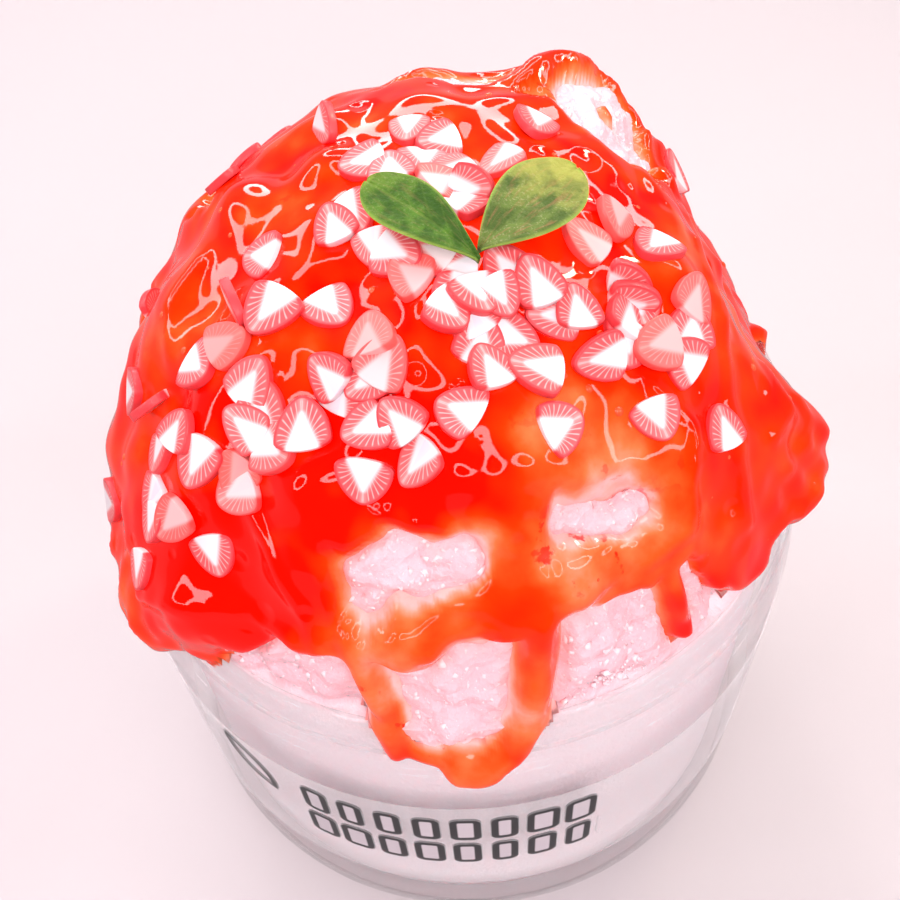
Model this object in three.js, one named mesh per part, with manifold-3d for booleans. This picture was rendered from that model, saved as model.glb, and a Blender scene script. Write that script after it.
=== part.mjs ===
// Toy shaved ice dessert: a screw-neck clear jar filled with white snow slime that is heaped high,
// coated in glossy red gel and strewn with flat clay fruit slices and two leaves.
// Millimetres, +Z up. The origin is the middle of the jar's flat underside.
import * as THREE from 'three';
import { mergeVertices } from 'three/addons/utils/BufferGeometryUtils.js';
import Module from 'manifold-3d';

const wasm = await Module();
wasm.setup();

// Jar
const bodyRadius = 46;
const jarHeight = 62;
const shoulderHeight = 52.5;
const neckRadius = 44.4;
const threadProud = 0.8;
const wall = 1.4;
const floorThickness = 1.8;
const heelRadius = 2.5;
const lipRound = 0.45;
const jarSides = 40;

// Label film round the front of the jar
const labelThickness = 0.25;
const labelBottom = 14;
const labelTop = 44;
const labelFrom = 190;
const labelTo = 350;
const labelSteps = 12;

// Heap: a surface seen from a centre level with the jar's lip
const gap = 0.3;
const heapSpread = 42.3;
const heapRise = 38.6;
const iceLevel = 60;
const iceDetail = 8;
const gelDetail = 12;
const meanRadius = 44;

// Mounds and dents of the heap: azimuth, polar angle and spread in degrees, height in mm
const mounds = [
  [342, 86, 16, 1.6], [5, 67, 20, -5.0], [28, 56, 14, -2.2], [50, 47, 15, 4.3], [55, 44, 8, 1.6],
  [92, 42, 20, 2.6], [174, 66, 18, -1.6], [215, 92, 17, 3.0], [268, 94, 12, 3.6],
];

// Red gel: thickness of the coat, width of its sloping edge, and how far it dips where there is none
const gelThickness = 1.6;
const gelEdge = 2.4;
const gelDip = 2.5;
// Lower edge of the coat: azimuth and polar angle in degrees
const skirt = [
  [0, 86], [30, 80], [58, 84], [90, 79], [118, 86], [150, 80], [180, 81], [198, 90], [214, 97],
  [226, 93], [235, 82], [243, 76.5], [250, 76], [257, 75], [266, 73.5], [275, 72], [290, 71], [300, 71.5],
  [306, 73], [311, 82], [316, 85.5], [322, 87], [326, 84], [333, 88], [341, 89], [350, 87],
];
// Runs of gel below the edge: azimuth and polar angle of their turning points, half width in mm
const runs = [
  { path: [[252, 71], [254, 76], [256, 81], [257.5, 87], [258.5, 94.5]], halfWidth: 1.9 },
  { path: [[258.5, 94.5], [264, 94.5], [270, 95.5]], halfWidth: 1.2 },
  { path: [[280.5, 69], [280, 75], [279, 81], [278, 87], [275.5, 92.5], [270, 96]], halfWidth: 2.4 },
  { path: [[267.5, 95.5], [272, 95.5]], halfWidth: 2.6 },
  { path: [[301, 64], [303, 76], [304, 85]], halfWidth: 1.5 },
  { path: [[152, 74], [153, 84], [155, 93]], halfWidth: 1.9 },
  { path: [[101, 74], [102, 84], [101, 95]], halfWidth: 2.1 },
  { path: [[16, 78], [15, 86], [14, 95]], halfWidth: 1.8 },
];
// Sides of a run, its steps from one point to the next, and how far the drop at its foot outgrows it
const runSides = 8;
const runSteps = 2;
const dropShare = 1.25;
// Bare places within the coat, in the same form
const bares = [
  { path: [[255, 64], [260, 60], [268, 59]], halfWidth: 3.7 },
  { path: [[287, 57], [301, 59]], halfWidth: 2.3 },
  { path: [[48, 36], [30, 38]], halfWidth: 4.2 },
  { path: [[46, 43], [32, 45]], halfWidth: 4.0 },
  { path: [[92, 36], [74, 37]], halfWidth: 3.0 },
  { path: [[147, 52], [152, 49]], halfWidth: 1.6 },
  { path: [[169, 67], [174, 63]], halfWidth: 1.7 },
];
// Thick lobes of gel: azimuth, polar angle and spread in degrees, height in mm
const lobes = [
  [335, 82, 10, 1.5], [346, 80, 9, 1.5], [214, 92, 12, 1.2], [224, 80, 9, 0.8], [60, 38, 6, 1.6],
];

// Clay fruit slices: width, length, thickness, how deep the lowest sits in the gel, the share of the length
// with the most width, bluntness of the tip, and the shares of the length where the outline has corners
const sliceWidth = 5.9;
const sliceLength = 5.8;
const sliceThickness = 1.0;
const sliceSink = 0.4;
const sliceWidest = 0.85;
const sliceBlunt = 0.65;
const sliceCorners = [0.08, 0.9];
// A slice that lies on others is lifted by each of them and leans a little, and neighbours differ slightly
// in height; a few stand nearly on edge
const sliceLift = 0.5;
const sliceLean = 0.2;
const sliceStagger = 0.12;
const staggerTurns = 3;
const steepLift = 1.5;
const steepLean = 1.6;
// Slices: azimuth and polar angle, heading of the tip seen from above, and how many lie below
const flatSlices = [
  [195, 61, 352, 0], [212, 60, 216, 0], [222, 55, 232, 0], [216, 53, 40, 2], [228, 43, 68, 0],
  [227, 47, 134, 1], [236, 48, 322, 2], [239, 43, 90, 2], [229, 54, 232, 0], [230, 56, 200, 1],
  [215, 66, 204, 0], [218, 68, 216, 1], [221, 65, 218, 2], [199, 82, 358, 0], [217, 77, 224, 0],
  [229, 67, 258, 0], [159, 12, 188, 1], [164, 7, 90, 0], [204, 17, 102, 1], [205, 14, 302, 2],
  [233, 16, 266, 0], [248, 16, 324, 1], [255, 19, 140, 0], [264, 15, 148, 0], [275, 18, 176, 0],
  [273, 23, 248, 0], [270, 25, 322, 1], [278, 25, 116, 0], [281, 23, 292, 1], [289, 24, 290, 2],
  [302, 24, 106, 1], [295, 20, 128, 0], [308, 30, 90, 1], [301, 29, 182, 0], [279, 29, 78, 0],
  [279, 33, 114, 1], [289, 30, 340, 0], [290, 35, 172, 1], [271, 38, 144, 0], [291, 43, 24, 0],
  [345, 27, 250, 1], [330, 24, 148, 0], [343, 34, 234, 0], [318, 35, 86, 1], [323, 36, 284, 0],
  [313, 38, 262, 0], [305, 37, 180, 1], [318, 41, 190, 2], [322, 45, 140, 1], [334, 41, 74, 1],
  [328, 43, 94, 0], [310, 49, 294, 0], [321, 57, 124, 0], [109, 12, 264, 0], [89, 9, 194, 1],
  [120, 4, 268, 0], [33, 3, 202, 0], [290, 2, 42, 1], [310, 7, 26, 0], [16, 10, 220, 0],
  [39, 20, 254, 1], [150, 44, 312, 0], [218, 32, 236, 1], [196, 29, 158, 0], [231, 27, 300, 0],
  [214, 39, 18, 1], [211, 45, 318, 1], [224, 41, 46, 0], [241, 35, 112, 1], [245, 37, 54, 0],
  [249, 29, 84, 1], [254, 32, 56, 0], [250, 35, 212, 0], [252, 41, 200, 0], [259, 39, 112, 1],
  [263, 45, 218, 1], [253, 48, 260, 0], [172, 61, 102, 0],
];
const steepSlices = [
  [205, 58, 188], [130, 24, 290], [210, 33, 296], [329, 32, 348], [326, 34, 348], [336, 6, 342],
];
// Slices strewn over the far side by a seeded rule
const farCount = 13;
const farSeed = 11;
const farEase = 1.4;
const farFrom = 35;
const farTo = 150;
const farHigh = 50;
const farLow = 80;

// Leaves: azimuth and polar angle of foot and tip, half width at the widest place and its share of the
// length, how slim the foot is, rise of the tip and cupping. Slices stack once where they are nearer to a
// blade than leafClear, and not at all within stalkReach of its lower part
const leafThickness = 0.8;
const leafSteps = 9;
const leafStrips = 4;
const leafClear = 2.2;
const stalkShare = 0.2;
const stalkReach = 4.6;
const stackMost = 3;
const leafLift = 1.2;
const leafEase = 1.5;
const leaves = {
  leaf_left: {
    foot: [281, 18.7], tip: [215, 11], halfWidth: 3.0, widest: 0.68, slim: 1.2, rise: 2.3, cup: 0.5,
    side: -1, color: 0x4d9a3c,
  },
  leaf_right: {
    foot: [287.5, 18.1], tip: [344.5, 18.6], halfWidth: 3.85, widest: 0.62, slim: 0.95, rise: 2.6, cup: 0.6,
    side: 1, color: 0x6f9a45,
  },
};

// Loose clumps of snow on the bare band above the lip
const clumpCount = 18;
const clumpSmall = 1.1;
const clumpLarge = 2.1;

const radians = THREE.MathUtils.degToRad;
const heapCentre = new THREE.Vector3(0, 0, jarHeight);

// Repeatable draws between 0 and 1
function drawer(seed) {
  let state = seed;
  return () => {
    state = (state * 16807) % 2147483647;
    return state / 2147483647;
  };
}

// Unit vector at an azimuth and polar angle in degrees
function direction(azimuth, polar) {
  const flat = Math.sin(radians(polar));
  return new THREE.Vector3(
    flat * Math.cos(radians(azimuth)), flat * Math.sin(radians(azimuth)), Math.cos(radians(polar)));
}

function smoothStep(from, to, value) {
  const share = THREE.MathUtils.clamp((value - from) / (to - from), 0, 1);
  return share * share * (3 - 2 * share);
}

// Sum of round mounds at a direction
function moundsAt(list, unit) {
  let height = 0;
  for (const [azimuth, polar, spread, rise] of list) {
    const angle = unit.angleTo(direction(azimuth, polar)) / radians(spread);
    height += rise * Math.exp(-angle * angle);
  }
  return height;
}

// Uneven lumps of scooped snow, a few millimetres across
function lumps(unit) {
  const { x, y, z } = unit;
  return 0.45 * Math.sin(9 * x + 4 * y + 1) * Math.sin(8 * y - 5 * z)
    + 0.35 * Math.sin(13 * z + 9 * x) * Math.sin(15 * y - 6 * x + 2);
}

// Radius of the heap's even form, which the gel follows
function heapRadius(unit) {
  const flat = Math.hypot(unit.x, unit.y) / heapSpread;
  const rise = unit.z / heapRise;
  return 1 / Math.hypot(flat, rise) + moundsAt(mounds, unit);
}

function polarOf(unit) {
  return THREE.MathUtils.radToDeg(Math.acos(THREE.MathUtils.clamp(unit.z, -1, 1)));
}

// The snow's own surface turns in below the lip, so that it stays within the jar
function iceRadius(unit) {
  const tuck = smoothStep(90, 100, polarOf(unit));
  return THREE.MathUtils.lerp(heapRadius(unit) + lumps(unit), heapSpread - 3, tuck);
}

// Polar angle of the coat's lower edge at an azimuth, eased from one named place to the next
function skirtPolar(azimuth) {
  let last = [skirt.at(-1)[0] - 360, skirt.at(-1)[1]];
  for (const next of [...skirt, [skirt[0][0] + 360, skirt[0][1]]]) {
    if (azimuth <= next[0]) {
      return last[1] + (next[1] - last[1]) * smoothStep(last[0], next[0], azimuth);
    }
    last = next;
  }
  return last[1];
}

// How far a direction lies inside a run or a bare place, in mm along the surface
function insideBand({ path, halfWidth }, unit) {
  const places = path.map(([azimuth, polar]) => direction(azimuth, polar));
  const nearest = new THREE.Vector3();
  const distances = places.slice(1).map((end, at) => {
    new THREE.Line3(places[at], end).closestPointToPoint(unit, true, nearest);
    return nearest.distanceTo(unit) * meanRadius;
  });
  return halfWidth - Math.min(...distances);
}

// How far a direction lies inside the coat's outline, in mm along the surface
function insideCoat(unit) {
  const azimuth = (THREE.MathUtils.radToDeg(Math.atan2(unit.y, unit.x)) + 360) % 360;
  const inside = radians(skirtPolar(azimuth) - polarOf(unit)) * meanRadius;
  return Math.min(inside, ...bares.map((place) => -insideBand(place, unit)));
}

// Depth of the gel: full inside, a parabola down to its edge, and below the snow outside it
function gelDepth(unit) {
  const inside = insideCoat(unit);
  if (inside <= 0) {
    return Math.max(inside, -gelDip);
  }
  const { x, y, z } = unit;
  const uneven = 0.25 * Math.sin(7 * x - 5 * y + 9 * z) * Math.sin(11 * y + 4 * z);
  const full = gelThickness + uneven + moundsAt(lobes, unit);
  const edge = 1 - Math.min(inside / gelEdge, 1);
  return full * (1 - edge * edge);
}

// Outer radius of the coat, which turns in under the lobes that hang over the lip
function gelRadius(unit) {
  const tuck = smoothStep(101, 112, polarOf(unit));
  return THREE.MathUtils.lerp(heapRadius(unit) + gap + gelDepth(unit), heapSpread - 4, tuck);
}

// A closed mesh with only merged positions, without the empty triangles of a lathe's axis
function positionsOnly(geometry) {
  geometry.deleteAttribute('normal');
  geometry.deleteAttribute('uv');
  const merged = mergeVertices(geometry, 1e-4);
  const corners = merged.index.array;
  const kept = [];
  for (let at = 0; at < corners.length; at += 3) {
    const [a, b, c] = corners.slice(at, at + 3);
    if (a !== b && b !== c && c !== a) {
      kept.push(a, b, c);
    }
  }
  merged.setIndex(kept);
  return merged;
}

function solidOf(geometry) {
  const merged = positionsOnly(geometry);
  return new wasm.Manifold(new wasm.Mesh({
    numProp: 3,
    vertProperties: new Float32Array(merged.attributes.position.array),
    triVerts: new Uint32Array(merged.index.array),
  }));
}

function geometryOf(solid) {
  const mesh = solid.getMesh();
  const geometry = new THREE.BufferGeometry();
  geometry.setAttribute('position', new THREE.BufferAttribute(new Float32Array(mesh.vertProperties), 3));
  geometry.setIndex(Array.from(mesh.triVerts));
  return geometry;
}

// A profile of [radius, height] pairs turned round the Z axis
function turned(profile, sides) {
  const points = profile.map(([radius, height]) => new THREE.Vector2(radius, height));
  return new THREE.LatheGeometry(points, sides).rotateX(Math.PI / 2);
}

// Points of a quarter or half round, from one angle to another in degrees
function arc(centreRadius, centreHeight, size, from, to, steps) {
  const points = [];
  for (let step = 0; step <= steps; step += 1) {
    const angle = radians(from + (to - from) * step / steps);
    points.push([centreRadius + size * Math.cos(angle), centreHeight + size * Math.sin(angle)]);
  }
  return points;
}

// The jar's outline, grown by a clearance on every side
function jarProfile(grow) {
  const inner = neckRadius - wall;
  const threadHeight = shoulderHeight + 6;
  const shoulderIn = neckRadius + 0.5;
  return [
    [0, -grow],
    ...arc(bodyRadius - heelRadius, heelRadius, heelRadius + grow, -90, 0, 3),
    [bodyRadius + grow, shoulderHeight - 1],
    [shoulderIn + grow, shoulderHeight + grow / 2],
    [neckRadius + grow, threadHeight - 1.1],
    [neckRadius + threadProud + grow, threadHeight - 0.3],
    [neckRadius + threadProud + grow, threadHeight + 0.3],
    [neckRadius + grow, threadHeight + 1.1],
    ...arc(neckRadius - lipRound, jarHeight - lipRound, lipRound + grow, 0, 90, 1),
    ...arc(inner + lipRound, jarHeight - lipRound, lipRound + grow, 90, 180, 1),
    [inner - grow, shoulderHeight],
    [inner - grow, floorThickness + 3],
    [inner - 3, floorThickness + grow],
    [0, floorThickness + grow],
  ];
}

// The snow that fills the jar up to its level at the wall
function fillProfile(grow) {
  const inner = neckRadius - wall;
  const floor = floorThickness + 2 * gap;
  return [
    [0, floor - grow],
    [inner - 3.4, floor - grow],
    [inner - 2 * gap + grow, floor + 3],
    [inner - 2 * gap + grow, iceLevel + grow],
    [0, iceLevel + grow],
  ];
}

// A round form pushed out to the radius that a function gives for each direction
function starSolid(detail, radiusAt) {
  const geometry = positionsOnly(new THREE.IcosahedronGeometry(1, detail));
  const places = geometry.attributes.position;
  const unit = new THREE.Vector3();
  for (let at = 0; at < places.count; at += 1) {
    unit.fromBufferAttribute(places, at).normalize();
    const place = unit.clone().multiplyScalar(radiusAt(unit)).add(heapCentre);
    places.setXYZ(at, place.x, place.y, place.z);
  }
  return solidOf(geometry);
}

// Normal of the coat's surface, from two near directions
function gelNormal(unit) {
  const side = new THREE.Vector3(0, 0, 1).cross(unit);
  if (side.lengthSq() < 1e-6) {
    side.set(1, 0, 0);
  }
  side.normalize();
  const up = unit.clone().cross(side);
  const at = (along, reach) => {
    const near = unit.clone().addScaledVector(along, reach).normalize();
    return near.multiplyScalar(gelRadius(near));
  };
  const reach = 0.05;
  const across = at(side, reach).sub(at(side, -reach));
  const along = at(up, reach).sub(at(up, -reach));
  const normal = across.cross(along).normalize();
  return normal.dot(unit) < 0 ? normal.negate() : normal;
}

// Half width of a slice at a share of its length from the tip: a blunt quarter sine, then an elliptic end
function sliceHalf(share) {
  const crown = Math.max((share - sliceWidest) / (1 - sliceWidest), 0);
  const swell = Math.sin(Math.PI / 2 * Math.min(share / sliceWidest, 1)) ** sliceBlunt;
  return sliceWidth / 2 * swell * Math.sqrt(1 - crown * crown);
}

// Outline of a slice, its tip towards -Y
function sliceShape() {
  const right = sliceCorners.map((share) => (
    new THREE.Vector2(sliceHalf(share), (share - 0.5) * sliceLength)));
  const left = right.map(({ x, y }) => new THREE.Vector2(-x, y)).reverse();
  return new THREE.Shape([...right, new THREE.Vector2(0, sliceLength / 2), ...left]);
}

// A slice on the gel: heading of its tip seen from above, lift from the gel and lean towards a side
function slice(unit, heading, lift, lean) {
  const normal = gelNormal(unit);
  const tipWay = new THREE.Vector3(Math.cos(radians(heading)), Math.sin(radians(heading)), 0);
  const sideWay = tipWay.clone().cross(normal).normalize();
  normal.addScaledVector(sideWay, lean).normalize();
  const back = tipWay.addScaledVector(normal, -tipWay.dot(normal)).normalize().negate();
  const across = back.clone().cross(normal);
  const place = unit.clone().multiplyScalar(gelRadius(unit)).add(heapCentre);
  place.addScaledVector(normal, lift - sliceSink);
  const geometry = new THREE.ExtrudeGeometry(
    sliceShape(), { depth: sliceThickness, bevelEnabled: false });
  geometry.applyMatrix4(new THREE.Matrix4().makeBasis(across, back, normal).setPosition(place));
  return solidOf(geometry);
}

// How high slices may be stacked at a direction, so that they stay clear of the leaves
function stackLimit(unit) {
  const limits = Object.values(leaves).map(({ foot, tip, halfWidth }) => {
    const stalk = direction(...foot).lerp(direction(...tip), stalkShare);
    if (unit.angleTo(stalk) * meanRadius < stalkReach) {
      return 0;
    }
    return insideBand({ path: [foot, tip], halfWidth: halfWidth + leafClear }, unit) > 0 ? 1 : stackMost;
  });
  return Math.min(...limits);
}

// Slices strewn by the seeded rule wherever the coat is whole
function farSlices() {
  const draw = drawer(farSeed);
  const made = [];
  for (let at = 0; at < farCount; at += 1) {
    const azimuth = farFrom + (farTo - farFrom) * (at + draw()) / farCount;
    const polar = farHigh + (farLow - farHigh) * draw() ** farEase;
    made.push([azimuth, polar, 360 * draw(), 0]);
  }
  return made.filter(([azimuth, polar]) => insideCoat(direction(azimuth, polar)) > gelEdge);
}

// Every slice; the lifted ones lean to either side by turns
function allSlices() {
  const flat = [...flatSlices, ...farSlices()].map(([azimuth, polar, heading, below], at) => {
    const unit = direction(azimuth, polar);
    const level = Math.min(below, stackLimit(unit));
    const lean = sliceLean * Math.min(level, 1) * (at % 2 ? 1 : -1);
    return slice(unit, heading, sliceLift * level + sliceStagger * (at % staggerTurns), lean);
  });
  const steep = steepSlices.map(([azimuth, polar, heading]) => (
    slice(direction(azimuth, polar), heading, steepLift, steepLean)));
  return [...flat, ...steep];
}

// A run of gel: a round cord laid along the heap, with round ends, its lower end the fuller one
function runSolids({ path, halfWidth }) {
  const places = path.map(([azimuth, polar]) => {
    const unit = direction(azimuth, polar);
    return unit.multiplyScalar(heapRadius(unit) + gap).add(heapCentre);
  });
  const route = new THREE.CatmullRomCurve3(places);
  const section = new THREE.Shape();
  section.absarc(0, 0, halfWidth, 0, 2 * Math.PI, false);
  const cord = new THREE.ExtrudeGeometry(section, {
    extrudePath: route, steps: runSteps * (path.length - 1), curveSegments: runSides / 2, bevelEnabled: false,
  });
  const drop = new THREE.SphereGeometry(halfWidth * dropShare, runSides, runSides / 2);
  const lowest = path.indexOf(path.reduce((low, place) => (place[1] > low[1] ? place : low)));
  const { x, y, z } = places[lowest];
  return [solidOf(cord), solidOf(drop.translate(x, y, z))];
}

function joined(solids) {
  return wasm.Manifold.union(solids);
}

// The one body of a fused solid: sealed hollows are filled and loose scraps are dropped
function wholeOf(solid) {
  return solid.decompose().reduce((most, piece) => (piece.volume() > most.volume() ? piece : most));
}

function jar() {
  return geometryOf(solidOf(turned(jarProfile(0), jarSides)));
}

// The label is a thin film bent round the body
function label() {
  const inner = bodyRadius + gap;
  const shape = new THREE.Shape();
  const outer = inner + labelThickness;
  shape.absarc(0, 0, outer, radians(labelFrom), radians(labelTo), false);
  shape.absarc(0, 0, inner, radians(labelTo), radians(labelFrom), true);
  const film = new THREE.ExtrudeGeometry(
    shape, { depth: labelTop - labelBottom, bevelEnabled: false, curveSegments: labelSteps });
  return positionsOnly(film.translate(0, 0, labelBottom));
}

// Loose clumps where the snow is bare, clear of the coat and of the lip
function clumps() {
  const draw = drawer(5);
  const made = [];
  while (made.length < clumpCount) {
    const unit = direction(360 * draw(), 68 + 20 * draw());
    const size = clumpSmall + (clumpLarge - clumpSmall) * draw() ** 2;
    const turn = 3 * draw();
    const nearGel = Math.max(insideCoat(unit), ...runs.map((run) => insideBand(run, unit)));
    if (nearGel < -size - 0.8 && heapRadius(unit) + size < neckRadius) {
      const lump = new THREE.IcosahedronGeometry(size, 0).rotateX(turn).rotateZ(2 * turn);
      const place = unit.clone().multiplyScalar(iceRadius(unit) - size * 0.2).add(heapCentre);
      made.push(solidOf(lump.translate(place.x, place.y, place.z)));
    }
  }
  return made;
}

const jarSpace = solidOf(turned(jarProfile(gap), jarSides));

function iceSolid(grow) {
  return starSolid(iceDetail, (unit) => iceRadius(unit) + grow).add(
    solidOf(turned(fillProfile(grow), jarSides)));
}

function ice() {
  return geometryOf(wholeOf(joined([iceSolid(0), ...clumps()]).subtract(jarSpace)));
}

function gel() {
  const coat = starSolid(gelDetail, gelRadius);
  const drips = runs.flatMap(runSolids);
  const fused = joined([coat, ...drips, ...allSlices()]);
  return geometryOf(wholeOf(fused.subtract(iceSolid(gap)).subtract(jarSpace)));
}

// Half width of a leaf along its length: a narrow foot that widens like a quarter sine, then an elliptic end
function leafWidth(share, { halfWidth, widest, slim }) {
  const foot = Math.sin(Math.PI / 2 * Math.min(share / widest, 1)) ** slim;
  const end = Math.max(share - widest, 0) / (1 - widest);
  return halfWidth * foot * Math.sqrt(1 - end * end) + 0.25;
}

// A leaf follows the top of the heap from its foot to its tip, cupped across and wavy along its rim
function leaf(form) {
  const { rise, cup, side } = form;
  const start = direction(...form.foot);
  const end = direction(...form.tip);
  const along = end.clone().sub(start).normalize();
  const places = [];
  for (const height of [0, leafThickness]) {
    for (let step = 0; step <= leafSteps; step += 1) {
      const share = 1 - (1 - step / leafSteps) ** leafEase;
      const middle = start.clone().lerp(end, share).normalize();
      const across = middle.clone().cross(along).normalize();
      const half = leafWidth(share, form) / meanRadius;
      for (let strip = 0; strip <= leafStrips; strip += 1) {
        const offset = 2 * strip / leafStrips - 1;
        const unit = middle.clone().addScaledVector(across, offset * half).normalize();
        const wave = 0.25 * share * Math.sin(9 * share + 3 * side) * offset * offset;
        const lift = leafLift + rise * share ** 0.6 + cup * offset * offset + wave + height;
        places.push(unit.multiplyScalar(gelRadius(unit) + lift).add(heapCentre));
      }
    }
  }
  const row = leafStrips + 1;
  const face = row * (leafSteps + 1);
  const corners = [];
  const quad = (a, b, c, d) => corners.push(a, b, c, a, c, d);
  for (let step = 0; step < leafSteps; step += 1) {
    for (let strip = 0; strip < leafStrips; strip += 1) {
      const low = step * row + strip;
      corners.push(low, low + 1, low + row + 1, low, low + row + 1, low + row);
      const top = low + face;
      corners.push(top, top + row + 1, top + 1, top, top + row, top + row + 1);
    }
    const near = step * row;
    const far = near + leafStrips;
    quad(near + row, near + row + face, near + face, near);
    quad(far, far + face, far + row + face, far + row);
  }
  for (let strip = 0; strip < leafStrips; strip += 1) {
    const last = leafSteps * row + strip;
    quad(strip, strip + face, strip + 1 + face, strip + 1);
    quad(last + 1, last + 1 + face, last + face, last);
  }
  const geometry = new THREE.BufferGeometry().setFromPoints(places);
  geometry.setIndex(corners);
  return geometry;
}

const group = new THREE.Group();

function addPart(name, geometry, look) {
  const mesh = new THREE.Mesh(geometry, new THREE.MeshStandardMaterial(look));
  mesh.name = name;
  group.add(mesh);
}

addPart('jar', jar(), { color: 0xf4f1f3, roughness: 0.06, metalness: 0 });
addPart('label', label(), { color: 0xffffff, roughness: 0.3, metalness: 0 });
addPart('ice', ice(), { color: 0xfbe3ea, roughness: 0.45, metalness: 0 });
addPart('gel', gel(), { color: 0xf0200a, roughness: 0.08, metalness: 0 });
for (const [name, form] of Object.entries(leaves)) {
  addPart(name, leaf(form), { color: form.color, roughness: 0.6, metalness: 0 });
}

export default group;
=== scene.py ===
# Toy shaved ice dessert: a clear jar of snow slime under red gel, with clay fruit slices and two leaves.
# Lengths in the dictionaries are millimetres and angles degrees; meshes are made in metres.
import bpy
import numpy as np
from mathutils import Matrix, Vector


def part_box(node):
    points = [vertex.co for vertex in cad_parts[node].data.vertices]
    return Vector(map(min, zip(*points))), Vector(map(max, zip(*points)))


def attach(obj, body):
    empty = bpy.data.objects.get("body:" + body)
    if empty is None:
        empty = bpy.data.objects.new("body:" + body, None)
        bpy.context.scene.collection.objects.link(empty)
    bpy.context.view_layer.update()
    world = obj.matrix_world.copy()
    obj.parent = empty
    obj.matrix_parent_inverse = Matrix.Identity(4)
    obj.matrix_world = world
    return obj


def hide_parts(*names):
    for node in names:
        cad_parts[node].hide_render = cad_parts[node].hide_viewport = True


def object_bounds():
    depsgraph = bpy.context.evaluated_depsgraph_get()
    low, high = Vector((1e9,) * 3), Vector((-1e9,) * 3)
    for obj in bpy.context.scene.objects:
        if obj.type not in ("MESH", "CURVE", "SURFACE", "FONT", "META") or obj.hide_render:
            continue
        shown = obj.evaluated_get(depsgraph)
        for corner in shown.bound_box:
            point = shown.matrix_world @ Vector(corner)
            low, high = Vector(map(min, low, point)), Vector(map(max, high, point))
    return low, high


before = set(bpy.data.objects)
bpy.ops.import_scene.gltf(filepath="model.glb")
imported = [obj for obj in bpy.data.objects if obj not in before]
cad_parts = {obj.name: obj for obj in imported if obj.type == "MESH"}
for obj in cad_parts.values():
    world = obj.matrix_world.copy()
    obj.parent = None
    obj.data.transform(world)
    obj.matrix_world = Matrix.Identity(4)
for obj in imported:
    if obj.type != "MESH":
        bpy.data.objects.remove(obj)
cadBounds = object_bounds()

metre = 1000.0  # millimetres in a metre
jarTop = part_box("jar")[1] * metre
jarHeight, bodyRadius = jarTop.z, jarTop.x
heapCentre = np.array([0.0, 0.0, jarHeight])  # level with the jar's lip
boxLow, boxHigh = (np.array(corner) * metre - heapCentre for corner in cadBounds)


# meshes and noise

def addPiece(name, points, faceSets, look, replaced=(), uv=None, attributes=None):
    # points in millimetres; faceSets are index arrays with three or four corners a row
    mesh = bpy.data.meshes.new(name)
    loops = np.concatenate([faces.ravel() for faces in faceSets])
    sizes = np.concatenate([np.full(len(faces), faces.shape[1]) for faces in faceSets])
    mesh.vertices.add(len(points))
    mesh.vertices.foreach_set("co", (points / metre).astype(np.float32).ravel())
    mesh.loops.add(len(loops))
    mesh.loops.foreach_set("vertex_index", loops.astype(np.int32))
    mesh.polygons.add(len(sizes))
    mesh.polygons.foreach_set("loop_start", (np.cumsum(sizes) - sizes).astype(np.int32))
    mesh.polygons.foreach_set("use_smooth", np.full(len(sizes), True))
    mesh.update(calc_edges=True)
    if uv is not None:
        mesh.uv_layers.new(name="UVMap").data.foreach_set("uv", uv[loops].astype(np.float32).ravel())
    for key, values in (attributes or {}).items():
        mesh.attributes.new(key, "FLOAT", "POINT").data.foreach_set("value", values.astype(np.float32))
    mesh.materials.append(look)
    piece = bpy.data.objects.new(name, mesh)
    bpy.context.scene.collection.objects.link(piece)
    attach(piece, "root")
    if replaced:
        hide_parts(*replaced)
    print("made", name, "with", len(sizes), "faces")


def gridFaces(rows, columns, wrapped=False):
    # quads between neighbouring rows of points, closed round the columns where wrapped
    across = columns if wrapped else columns - 1
    row, column = np.meshgrid(np.arange(rows - 1), np.arange(across), indexing="ij")
    nextColumn = (column + 1) % columns
    corners = [row * columns + column, row * columns + nextColumn,
               (row + 1) * columns + nextColumn, (row + 1) * columns + column]
    return np.stack([corner.ravel() for corner in corners], axis=1)


def closedFaces(rows, columns):
    # a wrapped grid with a fan at each end, from the two points that follow the grid's own
    ring = np.arange(columns)
    nextRing, last = (ring + 1) % columns, (rows - 1) * columns
    first = np.stack([0 * ring + rows * columns, nextRing, ring], axis=1)
    end = np.stack([0 * ring + rows * columns + 1, last + ring, last + nextRing], axis=1)
    return [gridFaces(rows, columns, wrapped=True), np.concatenate([first, end])]


def copiesOf(faceSets, count, size):
    # the faces of one shape, repeated for each copy of its points
    offset = (np.arange(count) * size)[:, None, None]
    return [(faces + offset).reshape(-1, faces.shape[1]) for faces in faceSets]


def unitOf(vectors):
    return vectors / np.linalg.norm(vectors, axis=-1, keepdims=True)


def smoothStep(low, high, value):
    share = np.clip((value - low) / (high - low), 0, 1)
    return share * share * (3 - 2 * share)


def direction(azimuth, polar):
    # unit vector: azimuth from +X towards +Y, polar angle from +Z
    azimuth, polar = np.radians(azimuth), np.radians(polar)
    return np.stack([np.sin(polar) * np.cos(azimuth), np.sin(polar) * np.sin(azimuth),
                     np.cos(polar) + 0 * azimuth], axis=-1)


noise = {
    "shortest": 0.75, "longest": 1.4,  # waves of a ripple, as shares of its wavelength
    # how the points of a cubic grid are scattered: a factor for each axis, gain, and reach in cells
    "factors": [(12.99, 78.23, 37.72), (39.35, 11.14, 83.16), (73.16, 52.24, 9.15)],
    "gain": 43758.5453, "reach": 0.8,
}


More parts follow.
